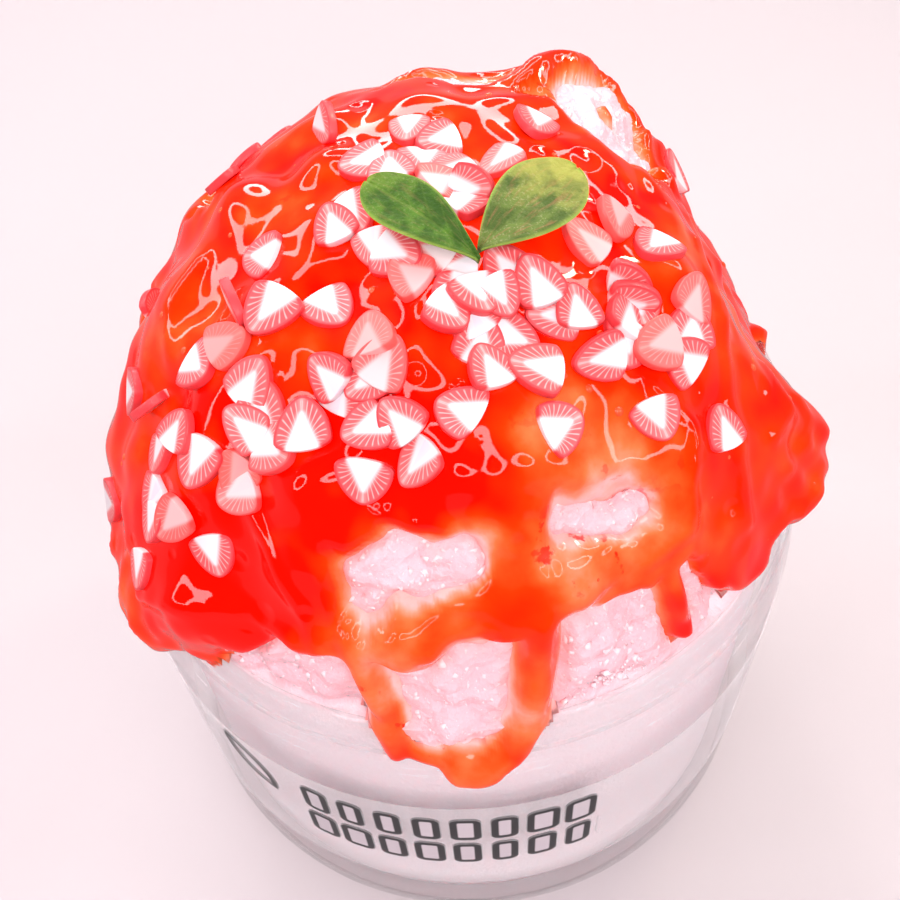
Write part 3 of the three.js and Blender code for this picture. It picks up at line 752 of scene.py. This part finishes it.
def makeGrains():
    # crystals on the bare snow: each an uneven eight-sided lump, turned at random
    draw = np.random.default_rng(grains["seed"])
    azimuth, height = draw.uniform(0, 360, grains["draws"]), draw.uniform(0.0, 1.0, grains["draws"])
    units = direction(azimuth, np.degrees(np.arccos(height)))
    wavelength, height, seed = grains["edgeWave"]
    edge = height * ripple(units * heap["meanRadius"], wavelength, seed)
    units = units[insideGel(units) + edge < -grains["clear"]][:grains["most"]]
    azimuth, polar, spread, count, rise = grains["clump"]
    pile = direction(azimuth + draw.normal(0, spread, count), polar + 0.5 * draw.normal(0, spread, count))
    lift = np.concatenate([np.zeros(len(units)), draw.uniform(0, rise, count)])
    units = np.concatenate([units, pile])
    radius, inside = snowRadius(units)
    ways = draw.normal(size=(len(units), 2, 3))
    first = unitOf(ways[:, 0])
    second = unitOf(np.cross(first, ways[:, 1]))
    axes = np.stack([first, second, np.cross(first, second)], axis=1)
    share = draw.uniform(0, 1, len(units)) ** grains["fewLarge"]
    size = grains["small"] + (grains["large"] - grains["small"]) * share
    corners = np.array([[1, 0, 0], [-1, 0, 0], [0, 1, 0], [0, -1, 0], [0, 0, 1], [0, 0, -1.0]])
    faces = np.array([[4, 0, 2], [4, 2, 1], [4, 1, 3], [4, 3, 0], [5, 2, 0], [5, 1, 2], [5, 3, 1], [5, 0, 3]])
    lump = corners[None] * draw.uniform(*grains["uneven"], (len(units), len(corners), 1))
    lump = lump + draw.normal(0, grains["skew"], lump.shape)
    centre = units * (radius + lift - grains["sink"] * size)[:, None] + heapCentre
    points = centre[:, None] + 0.5 * size[:, None, None] * np.einsum("npk,nkc->npc", lump, axes)
    stain = grains["stain"] * np.exp(np.minimum(inside, 0) / grains["stainReach"])
    look = Look("crystal")
    colour = look.mix(look.attribute("stain"), snow["crystal"], snow["stained"])
    material = look.surface({"Base Color": colour, "Roughness": 0.2, "Coat Weight": 0.3})
    faceSets = copiesOf([faces], len(units), len(corners))
    addPiece("snow_grains", points.reshape(-1, 3), faceSets, material,
             attributes={"stain": np.repeat(stain, len(corners))})


# jar

jar = {
    "neckRadius": 44.4, "shoulder": 52.5, "wall": 1.4, "floorThickness": 1.8, "heel": 2.5, "lipRound": 0.45,
    "shoulderRound": 1.2, "neckRound": 0.5, "insideRound": 3.0, "underside": 8.5, "insideFlat": 12.0,
    "threadProud": 0.8, "threadTop": 59.6, "threadPitch": 3.2, "threadHalf": 0.55, "threadTurns": 1.2,
    "threadFade": 0.08, "columns": 288, "neckSteps": 44, "bodySteps": 12, "insideSteps": 10,
}


def arc(radius, height, size, start, end, steps=6):
    # radius and height along an arc of a size about a middle, from one angle to another
    angle = np.radians(np.linspace(start, end, steps + 1))
    return np.stack([radius + size * np.cos(angle), height + size * np.sin(angle)], axis=1)


def makeJar():
    # profile carried round the axis, with a helical bead on the neck
    neck, inner = jar["neckRadius"], jar["neckRadius"] - jar["wall"]
    shoulder, heel, lip, floor = jar["shoulder"], jar["heel"], jar["lipRound"], jar["floorThickness"]
    outside, corner, inside = jar["shoulderRound"], jar["neckRound"], jar["insideRound"]
    rise = np.linspace(shoulder + 1.0, jarHeight - lip - 0.4, jar["neckSteps"])
    straight = np.linspace(heel + 2, shoulder - 3, jar["bodySteps"])
    fall = np.linspace(jarHeight - 2, floor + 4, jar["insideSteps"])
    profile = np.concatenate([
        [[bodyRadius - jar["underside"], 0.0]], arc(bodyRadius - heel, heel, heel, -90, 0, 8),
        np.stack([0 * straight + bodyRadius, straight], axis=1),
        arc(bodyRadius - outside, shoulder - outside, outside, 0, 80),
        arc(neck + corner, shoulder + corner, corner, 260, 180, 4),
        np.stack([0 * rise + neck, rise], axis=1),
        arc(neck - lip, jarHeight - lip, lip, 0, 90), arc(inner + lip, jarHeight - lip, lip, 90, 180),
        np.stack([0 * fall + inner, fall], axis=1),
        arc(inner - inside, floor + inside, inside, 0, -90), [[inner - jar["insideFlat"], floor]],
    ])
    angle = np.linspace(0, 2 * np.pi, jar["columns"], endpoint=False)
    radius = np.repeat(profile[:, :1], len(angle), axis=1)
    height = np.repeat(profile[:, 1:], len(angle), axis=1)
    onNeck = (np.abs(radius - neck) < 0.01) & (height > shoulder + 0.6)
    turns, fade = jar["threadTurns"], jar["threadFade"]
    for turn in range(int(np.ceil(turns))):
        along = angle / (2 * np.pi) + turn  # turns from the bead's start
        ends = smoothStep(0, fade, along) * (1 - smoothStep(turns - fade, turns, along))
        centre = jar["threadTop"] - jar["threadPitch"] * along
        bead = np.clip(1 - ((height - centre) / jar["threadHalf"]) ** 2 * 0.5, 0, 1) ** 0.7
        radius = radius + onNeck * jar["threadProud"] * ends * bead
    around = np.stack([radius * np.cos(angle), radius * np.sin(angle), height], axis=2).reshape(-1, 3)
    points = np.concatenate([around, [[0, 0, 0.0], [0, 0, floor]]])
    look = Look("jar")
    material = look.surface({"Base Color": (0.995, 0.985, 0.99), "Roughness": look.noise(60.0) * 0.06 + 0.02,
                             "IOR": 1.5, "Transmission Weight": 1.0, "Alpha": 0.24})
    addPiece("jar_shell", points, closedFaces(len(profile), len(angle)), material, ["jar"])


# clay slices

slices = {
    "width": 5.9, "length": 5.8, "thickness": 1.0, "sink": 0.4,
    "lift": 0.5, "lean": 0.2, "steepLift": 1.5, "steepLean": 1.6,  # of a stacked slice, and of one on edge
    "stagger": 0.12, "staggerTurns": 3, "stackMost": 3,  # neighbours differ slightly in height
    "widest": 0.8, "blunt": 0.56,  # share of the length with the most width, bluntness of the tip
    # azimuth, polar angle, heading of the tip seen from above, how many slices lie below it
    "flat": [
        (195, 61, 352, 0), (212, 60, 216, 0), (222, 55, 232, 0), (216, 53, 40, 2),
        (228, 43, 68, 0), (227, 47, 134, 1), (236, 48, 322, 2), (239, 43, 90, 2),
        (229, 54, 232, 0), (230, 56, 200, 1), (215, 66, 204, 0), (218, 68, 216, 1),
        (221, 65, 218, 2), (199, 82, 358, 0), (217, 77, 224, 0), (229, 67, 258, 0),
        (159, 12, 188, 1), (164, 7, 90, 0), (204, 17, 102, 1), (205, 14, 302, 2),
        (233, 16, 266, 0), (248, 16, 324, 1), (255, 19, 140, 0), (264, 15, 148, 0),
        (275, 18, 176, 0), (273, 23, 248, 0), (270, 25, 322, 1), (278, 25, 116, 0),
        (281, 23, 292, 1), (289, 24, 290, 2), (302, 24, 106, 1), (295, 20, 128, 0),
        (308, 30, 90, 1), (301, 29, 182, 0), (279, 29, 78, 0), (279, 33, 114, 1),
        (289, 30, 340, 0), (290, 35, 172, 1), (271, 38, 144, 0), (291, 43, 24, 0),
        (345, 27, 250, 1), (330, 24, 148, 0), (343, 34, 234, 0), (318, 35, 86, 1),
        (323, 36, 284, 0), (313, 38, 262, 0), (305, 37, 180, 1), (318, 41, 190, 2),
        (322, 45, 140, 1), (334, 41, 74, 1), (328, 43, 94, 0), (310, 49, 294, 0),
        (321, 57, 124, 0), (109, 12, 264, 0), (89, 9, 194, 1), (120, 4, 268, 0), (33, 3, 202, 0),
        (290, 2, 42, 1), (310, 7, 26, 0), (16, 10, 220, 0), (39, 20, 254, 1), (150, 44, 312, 0),
        (218, 32, 236, 1), (196, 29, 158, 0), (231, 27, 300, 0), (214, 39, 18, 1),
        (211, 45, 318, 1), (224, 41, 46, 0), (241, 35, 112, 1), (245, 37, 54, 0),
        (249, 29, 84, 1), (254, 32, 56, 0), (250, 35, 212, 0), (252, 41, 200, 0),
        (259, 39, 112, 1), (263, 45, 218, 1), (253, 48, 260, 0), (172, 61, 102, 0),
    ],
    # those that stand on edge: azimuth, polar angle, heading of the tip
    "steep": [(205, 58, 188), (130, 24, 290), (210, 33, 296), (329, 32, 348), (326, 34, 348), (336, 6, 342)],
    # those on the far side: count, range of azimuths and of polar angles, crowding, seed and generator
    "farCount": 13, "farFrom": 35, "farTo": 150, "farHigh": 50, "farLow": 80, "farCrowd": 1.4,
    "farSeed": 11, "farFactor": 16807, "farModulus": 2147483647,
    "outline": 36, "middle": 0.08, "bevel": 0.1, "bevelRound": 0.3, "flatRing": 0.12,
    "smallest": 0.78, "largest": 1.0, "skew": 0.14, "bend": (-0.03, 0.015), "fewSoaked": 6, "seed": 21,
    # wedge: where it starts along the slice, half width there and at the wide end
    "wedgeFrom": 0.24, "wedgeTip": 0.0, "wedgeWide": 0.62,
    "rayCentre": 0.95, "rays": 58.0,  # where the rays meet, and their number in a full turn
    # the lavender colour is painted shade on the white wedge
    "white": (0.74, 0.67, 0.7), "lavenderShade": (0.74, 0.55, 0.66), "coral": (0.72, 0.075, 0.085),
    "ray": (0.8, 0.36, 0.36), "rim": (0.68, 0.04, 0.05),
}


def makeSlices():
    # one form laid on the gel many times by axes of its own, each a little uneven in size, skew and bend
    flatRows, steepRows = np.array([*slices["flat"], *farSlices()], float), np.array(slices["steep"], float)
    rows = np.concatenate([flatRows[:, :3], steepRows])
    places, headings = direction(rows[:, 0], rows[:, 1]), np.radians(rows[:, 2])
    level = np.minimum(flatRows[:, 3], stackLimit(places[:len(flatRows)]))
    stagger = slices["stagger"] * (np.arange(len(flatRows)) % slices["staggerTurns"])
    side = np.where(np.arange(len(flatRows)) % 2, 1, -1)
    steepOnes = np.ones(len(steepRows))
    lifts = np.append(slices["lift"] * level + stagger, slices["steepLift"] * steepOnes)[:, None]
    leans = np.append(slices["lean"] * side * np.minimum(level, 1), slices["steepLean"] * steepOnes)[:, None]
    normal = gelNormal(places)
    tipWay = np.stack([np.cos(headings), np.sin(headings), 0 * headings], axis=1)
    sideWay = unitOf(np.cross(tipWay, normal))
    normal = unitOf(normal + sideWay * leans)
    back = -unitOf(tipWay - normal * (tipWay * normal).sum(axis=1)[:, None])
    across = np.cross(back, normal)
    base = places * gelRadius(places)[:, None] + heapCentre + normal * (lifts - slices["sink"])
    form, rim, faceSets = sliceForm()
    count = len(places)
    draw = np.random.default_rng(slices["seed"])
    scale = draw.uniform(slices["smallest"], slices["largest"], (count, 2))
    skew = draw.uniform(-slices["skew"], slices["skew"], (count, 1))
    bend = draw.uniform(*slices["bend"], (count, 1))
    x = form[None, :, 0] * scale[:, :1] + skew * form[None, :, 1]
    y = form[None, :, 1] * scale[:, 1:]
    z = form[None, :, 2] + bend * x * x
    points = (base[:, None] + across[:, None] * x[..., None] + back[:, None] * y[..., None]
              + normal[:, None] * z[..., None])
    uv = np.tile(form[:, :2] / [slices["width"], slices["length"]] + 0.5, (count, 1))
    # tone picks the slices that get the painted lavender shade; soaked picks those stained red
    tone, soaked = draw.uniform(0, 1, count), draw.uniform(0, 1, count) ** slices["fewSoaked"]
    shades = {"rim": np.tile(rim, count)}
    shades.update(tone=np.repeat(tone, len(form)), soaked=np.repeat(soaked, len(form)))
    addPiece("clay_slices", points.reshape(-1, 3), copiesOf(faceSets, count, len(form)), clayLook(),
             uv=uv, attributes=shades)


def sliceForm():
    # the outline carried up its rounded edge, closed to a middle point above and below
    share = 0.5 - 0.5 * np.cos(np.linspace(0, np.pi, slices["outline"] // 2 + 1))
    right = np.stack([sliceHalf(share), (share - 0.5) * slices["length"]], axis=1)
    outline = np.concatenate([right[:-1], (right * [-1, 1])[:0:-1]])
    middle = np.array([0, slices["middle"] * slices["length"]])
    thick, bevel, flatRing = slices["thickness"], slices["bevel"], slices["bevel"] + slices["flatRing"]
    eased = slices["bevelRound"] * bevel
    levels = [(0.0, flatRing), (0.0, bevel), (eased, eased), (bevel, 0.0), (thick - bevel, 0.0),
              (thick - eased, eased), (thick, bevel), (thick, flatRing)]  # height and inset of each ring
    reach = np.linalg.norm(outline - middle, axis=1)[:, None]
    rings = [middle + (outline - middle) * (1 - inset / reach) for _, inset in levels]
    flat = np.concatenate([*rings, [middle, middle]])
    height = np.append(np.repeat([height for height, _ in levels], len(outline)), [0.0, thick])
    rim = np.append(np.ones(len(levels) * len(outline)), [0.0, 0.0])
    return np.column_stack([flat, height]), rim, closedFaces(len(levels), len(outline))


def sliceHalf(share):
    # half width along the length: a blunt quarter sine from the tip, then a quarter ellipse at the wide end
    widest = slices["widest"]
    crown = np.clip((share - widest) / (1 - widest), 0, 1)
    swell = np.sin(np.pi / 2 * np.minimum(share / widest, 1)) ** slices["blunt"]
    return slices["width"] / 2 * swell * np.sqrt(1 - crown ** 2)


def farSlices():
    # the same seeded draws as in the solids, three for each slice
    state = slices["farSeed"]
    made = []
    for at in range(slices["farCount"]):
        drawn = []
        for _ in range(3):
            state = state * slices["farFactor"] % slices["farModulus"]
            drawn.append(state / slices["farModulus"])
        share = (at + drawn[0]) / slices["farCount"]
        azimuth = slices["farFrom"] + (slices["farTo"] - slices["farFrom"]) * share
        polar = slices["farHigh"] + (slices["farLow"] - slices["farHigh"]) * drawn[1] ** slices["farCrowd"]
        if insideCoat(direction(azimuth, polar)[None])[0] > gel["edge"]:
            made.append((azimuth, polar, 360 * drawn[2], 0))
    return made


def gelNormal(units):
    # from the gel's surface at four near directions
    side = unitOf(np.cross([0, 0, 1.0], units) + [1e-9, 0, 0])
    up = np.cross(units, side)
    near = []
    for way in (side, -side, up, -up):
        place = unitOf(units + gel["normalStep"] * way)
        near.append(place * gelRadius(place)[:, None])
    normal = unitOf(np.cross(near[0] - near[1], near[2] - near[3]))
    return normal * np.sign((normal * units).sum(axis=1))[:, None]


def stackLimit(units):
    # how high slices may be stacked: not at all by a leaf's foot, and once under its blade
    limit = np.full(len(units), slices["stackMost"])
    for form in leaf["forms"].values():
        start, end = direction(*form["foot"]), direction(*form["tip"])
        stalk = unitOf(start + leaf["stalkShare"] * (end - start))
        low = np.arccos(np.clip(units @ stalk, -1, 1)) * heap["meanRadius"] < leaf["stalkReach"]
        blade = insideBand(units, [form["foot"], form["tip"]], form["halfWidth"] + leaf["clear"]) > 0
        limit = np.minimum(limit, np.where(low, 0, np.where(blade, 1, limit)))
    return limit


def clayLook():
    # white wedge that flares to the wide end, with painted lavender shade down its middle on some slices,
    # coral border with fine pale rays, darker rim
    look = Look("clay")
    place = look.add("ShaderNodeSeparateXYZ", None, {0: look.add("ShaderNodeUVMap")})
    u = abs((place - 0.5) * 2.0)
    v = place.output(1)
    rim = look.attribute("rim")
    angle = look.maths("ARCTAN2", u * 0.5, slices["rayCentre"] - v + u * u * 0.35)
    rays = look.maths("SINE", angle * slices["rays"] + look.noise(500.0) * 1.6).step(0.45, 1.0)
    start = slices["wedgeFrom"]
    along = (v - start).most(0.0) / (1 - start)
    edge = along * (slices["wedgeWide"] - slices["wedgeTip"]) + slices["wedgeTip"]
    wedge = (u - edge).step(0.13, -0.1) * along.step(0.0, 0.12)
    # painted shade: on slices drawn at random, a lavender strip down the middle of the white wedge stands in
    # for the shade of a bent slice
    inner = (u - edge * 0.5 + 0.05).step(0.03, -0.03) * along.step(0.1, 0.3)
    tone = look.attribute("tone")
    border = look.mix((u - edge).step(0.24, 0.0) * 0.5, slices["coral"], slices["ray"])
    border = look.mix(rays * (1.0 - rim.step(0.86, 0.98)) * 0.9, border, slices["ray"])
    border = look.mix(rim.step(0.95, 1.0), border, slices["rim"])
    white = look.mix(tone.step(0.45, 1.0) * inner * 0.6, slices["white"], slices["lavenderShade"])
    colour = look.mix(wedge, border, white)
    soaked = look.attribute("soaked") * 0.75
    return look.surface({"Base Color": look.mix(soaked, colour, (1.0, 0.12, 0.1)), "Roughness": 0.4,
                         "Coat Weight": 0.15, "Coat Roughness": 0.12})


# leaves

leaf = {
    "thickness": 0.8, "clear": 2.2, "stalkShare": 0.2, "stalkReach": 4.6, "lift": 1.2, "off": 0.3,
    "steps": 64, "strips": 32, "crowd": 1.5, "least": 0.25,
    "wave": 0.25, "midrib": 0.12, "midribHalf": 0.06, "ribs": 0.06, "ribTurns": 24, "ribSweep": 0.35,
    "forms": {
        "leaf_left": {
            "foot": (284.5, 18.9), "tip": (215, 11), "halfWidth": 3.0, "widest": 0.68, "slim": 1.2,
            "rise": 2.3, "cup": 0.5, "side": -1, "ripe": 0.12, "streaks": 0.2, "veins": 0.1, "specks": 0.2,
            "dark": (0.02, 0.06, 0.006), "green": (0.075, 0.17, 0.015),
        },
        "leaf_right": {
            "foot": (286, 17.4), "tip": (344.5, 18.6), "halfWidth": 3.85, "widest": 0.62, "slim": 0.95,
            "rise": 2.6, "cup": 0.6, "side": 1, "ripe": 0.8, "streaks": 0.6, "veins": 0.05, "specks": 0.35,
            "dark": (0.045, 0.08, 0.014), "green": (0.12, 0.175, 0.035),
        },
    },
    "yellow": (0.36, 0.35, 0.07), "brown": (0.25, 0.12, 0.055), "edge": (0.3, 0.4, 0.07),
    "speck": (0.45, 0.4, 0.25),
}


def leafHalf(form, share):
    # half width along the leaf: a quarter sine to its widest place, then a quarter ellipse to the tip
    widest = form["widest"]
    lower = np.sin(np.pi / 2 * np.clip(share / widest, 0, 1)) ** form["slim"]
    upper = np.sqrt(np.clip(1 - (np.maximum(share - widest, 0) / (1 - widest)) ** 2, 0, 1))
    return form["halfWidth"] * np.where(share < widest, lower, upper) + leaf["least"]


def makeLeaf(name):
    # two faces on one grid along and across the leaf, joined round the rim
    form = leaf["forms"][name]
    start, end = direction(*form["foot"]), direction(*form["tip"])
    along = unitOf(end - start)
    share = 1 - (1 - np.linspace(0, 1, leaf["steps"] + 1)) ** leaf["crowd"]  # closer steps towards the tip
    middle = unitOf(start + share[:, None] * (end - start))
    across = unitOf(np.cross(middle, along))
    half = leafHalf(form, share) / heap["meanRadius"]
    offset = np.linspace(-1, 1, leaf["strips"] + 1)
    reach = half[:, None, None] * offset[None, :, None]
    units = unitOf(middle[:, None] + across[:, None] * reach).reshape(-1, 3)
    shares, offsets = (grid.ravel() for grid in np.meshgrid(share, offset, indexing="ij"))
    wave = leaf["wave"] * shares * np.sin(9 * shares + 3 * form["side"]) * offsets ** 2
    ribs = leaf["ribs"] * np.cos(leaf["ribTurns"] * (shares - leaf["ribSweep"] * np.abs(offsets)))
    vein = leaf["midrib"] * np.exp(-(offsets / leaf["midribHalf"]) ** 2) + ribs
    lift = leaf["lift"] + form["rise"] * shares ** 0.6 + form["cup"] * offsets ** 2 + wave
    base = gelSmooth(units) + lift
    rim = np.sqrt(np.clip(1 - offsets ** 6, 0, 1)) * 0.5
    under = base + leaf["thickness"] * (0.5 - rim)
    over = base + leaf["thickness"] * (0.5 + rim) - vein * (1 - offsets ** 4)
    points = np.concatenate([units * under[:, None], units * over[:, None]]) + heapCentre
    rows, columns = len(share), len(offset)
    quads = gridFaces(rows, columns)
    size = rows * columns
    edge = np.concatenate([np.arange(columns), np.arange(1, rows) * columns + columns - 1,
                           (rows - 1) * columns + np.arange(columns - 1)[::-1],
                           np.arange(1, rows - 1)[::-1] * columns])
    nextEdge = np.roll(edge, -1)
    rimFaces = np.stack([edge, edge + size, nextEdge + size, nextEdge], axis=1)
    uv = np.tile(np.stack([shares, offsets * 0.5 + 0.5], axis=1), (2, 1))
    addPiece(name + "_blade", points, [quads, quads[:, ::-1] + size, rimFaces[:, ::-1]],
             leafLook(name, form), [name], uv=uv)


def leafLook(name, form):
    # mottled greens with brown streaks along the blade, riper at the tip and round the edge
    look = Look(name)
    uv = look.add("ShaderNodeUVMap")
    place = look.add("ShaderNodeSeparateXYZ", None, {0: uv})
    share, across = place, place.output(1)
    offset = abs((across - 0.5) * 2.0)
    stretched = look.add("ShaderNodeVectorMath", {"operation": "MULTIPLY"}, {0: uv, 1: (3.0, 9.0, 1.0)})
    streak = look.noise(1.6, 4.0, stretched).step(0.5, 0.68)
    mottle = look.noise(480.0, 5.0).step(0.36, 0.64)
    velvet = look.noise(3200.0, 2.0)
    ribs = look.maths("SINE", (share - offset * 0.3) * 34.0).step(0.8, 1.0)
    midrib = offset.step(0.07, 0.02)
    colour = look.mix(mottle * 0.7 + velvet * 0.3, form["dark"], form["green"])
    colour = look.mix(streak * form["streaks"], colour, leaf["brown"])
    colour = look.mix((ribs * 0.5).most(midrib) * form["veins"], colour, leaf["edge"])
    speck = look.noise(4200.0, 3.0).step(0.52, 0.72) * mottle
    colour = look.mix(speck * form["specks"], colour, leaf["speck"])
    ripe = (share * 1.5 + mottle * 0.3 + across * 0.35 * form["side"] - 0.95).step(0.1, 0.9)
    colour = look.mix(ripe * form["ripe"], colour, leaf["yellow"])
    border = offset.step(0.84, 1.0).most(share.step(0.965, 1.0))
    colour = look.mix(border * 0.6, colour, leaf["edge"])
    return look.surface({"Base Color": colour, "Roughness": velvet * 0.3 + 0.5, "Specular IOR Level": 0.25,
                         "Normal": look.bump(velvet + mottle * 0.6, 0.00025, 0.7)})


def gelSmooth(units):
    # the gel's radius without its waves, as the leaves in the solids follow it
    return heapRadius(units) + leaf["off"] + gelDepth(units)


# label

label = {
    "radius": 46.06, "thickness": 0.2, "low": 14.2, "high": 43.8, "from": 190.3, "to": 349.7,
    "columns": 132, "steps": 9,
    # generic print: rows of rounded blocks at these heights, and a plain leaf outline
    "rows": (36.5, 27.5), "rowHalf": 3.7, "pitch": 5.0, "reach": 20.2, "narrow": 1.7, "wide": 2.25,
    "corner": 1.3, "outline": 1.0, "shift": 4.6, "rowSeed": 10.3, "blur": 0.12,
    "filmAlpha": 0.2, "inkAlpha": 0.72,  # the second is what the ink adds
    "ink": (0.02, 0.017, 0.02), "fill": (0.62, 0.54, 0.58), "film": (0.95, 0.9, 0.92),
    # leaf outline: place along the label, height, turn in degrees, radius and distance of its two circles
    "motif": (-32.5, 37.0), "motifTurn": 38.0, "motifRadius": 8.0, "motifApart": 5.2, "motifLine": 0.95,
}


def makeLabel():
    # film round the body: a box section carried round the azimuths, closed at both ends
    azimuth = np.linspace(label["from"], label["to"], label["columns"])
    heights = np.linspace(label["low"], label["high"], label["steps"])
    outer = label["radius"] + label["thickness"]
    section = np.concatenate([np.stack([0 * heights + outer, heights], axis=1),
                              np.stack([0 * heights + label["radius"], heights[::-1]], axis=1)])
    angle = np.radians(azimuth)[:, None]
    points = np.stack([section[:, 0] * np.cos(angle), section[:, 0] * np.sin(angle),
                       section[:, 1] + 0 * angle], axis=2).reshape(-1, 3)
    count = len(section)
    faces = gridFaces(len(azimuth), count, wrapped=True)
    half = np.arange(count // 2 - 1)
    cap = np.stack([half, half + 1, count - 2 - half, count - 1 - half], axis=1)
    along = np.repeat(np.radians(azimuth - 270) * outer, count)
    addPiece("label_film", points, [faces[:, ::-1], cap, cap[:, ::-1] + (len(azimuth) - 1) * count],
             labelLook(), ["label"], attributes={"along": along, "height": points[:, 2]})


def labelLook():
    # distance to each rounded block gives its outline and fill; the motif is the meeting of two circles
    look = Look("label")
    around, height = look.attribute("along"), look.attribute("height")
    along = around + label["shift"]
    cell = look.maths("FLOOR", along / label["pitch"])
    blur, corner = label["blur"], label["corner"]
    ink, fill = 0.0, 0.0
    for row, middle in enumerate(label["rows"]):
        seed = cell + label["rowSeed"] * row
        chance = look.add("ShaderNodeTexWhiteNoise", {"noise_dimensions": "1D"}, {"W": seed})
        half = chance * (label["wide"] - label["narrow"]) + label["narrow"]
        x = (abs(along - (cell + 0.5) * label["pitch"]) - half + corner).most(0.0)
        y = (abs(height - middle) - label["rowHalf"] + corner).most(0.0)
        away = (x * x + y * y) ** 0.5 - corner
        within = abs(along).step(label["reach"] + 0.3, label["reach"])
        ink = away.step(blur, -blur) * within + ink
        fill = away.step(blur - label["outline"], -blur - label["outline"]) * within + fill
    centre, middle = label["motif"]
    turn = np.radians(label["motifTurn"])
    cosine, sine = np.cos(turn).item(), np.sin(turn).item()
    x, y = around - centre, height - middle
    x, y = x * cosine + y * sine, y * cosine - x * sine
    circles = [((x + shift) ** 2.0 + y * y) ** 0.5 for shift in (label["motifApart"], -label["motifApart"])]
    away = circles[0].most(circles[1]) - label["motifRadius"]
    line = label["motifLine"]
    ink = ink.most(away.step(0.15, -0.1) * away.step(-line - 0.15, -line + 0.15))
    colour = look.mix(fill, look.mix(ink, label["film"], label["ink"]), label["fill"])
    alpha = ink * label["inkAlpha"] + label["filmAlpha"]
    return look.surface({"Base Color": colour, "Roughness": 0.35, "Alpha": alpha})


makeGel()
makeBubbles()
makeSnow()
makeGrains()
makeJar()
makeSlices()
for leafName in leaf["forms"]:
    makeLeaf(leafName)
makeLabel()
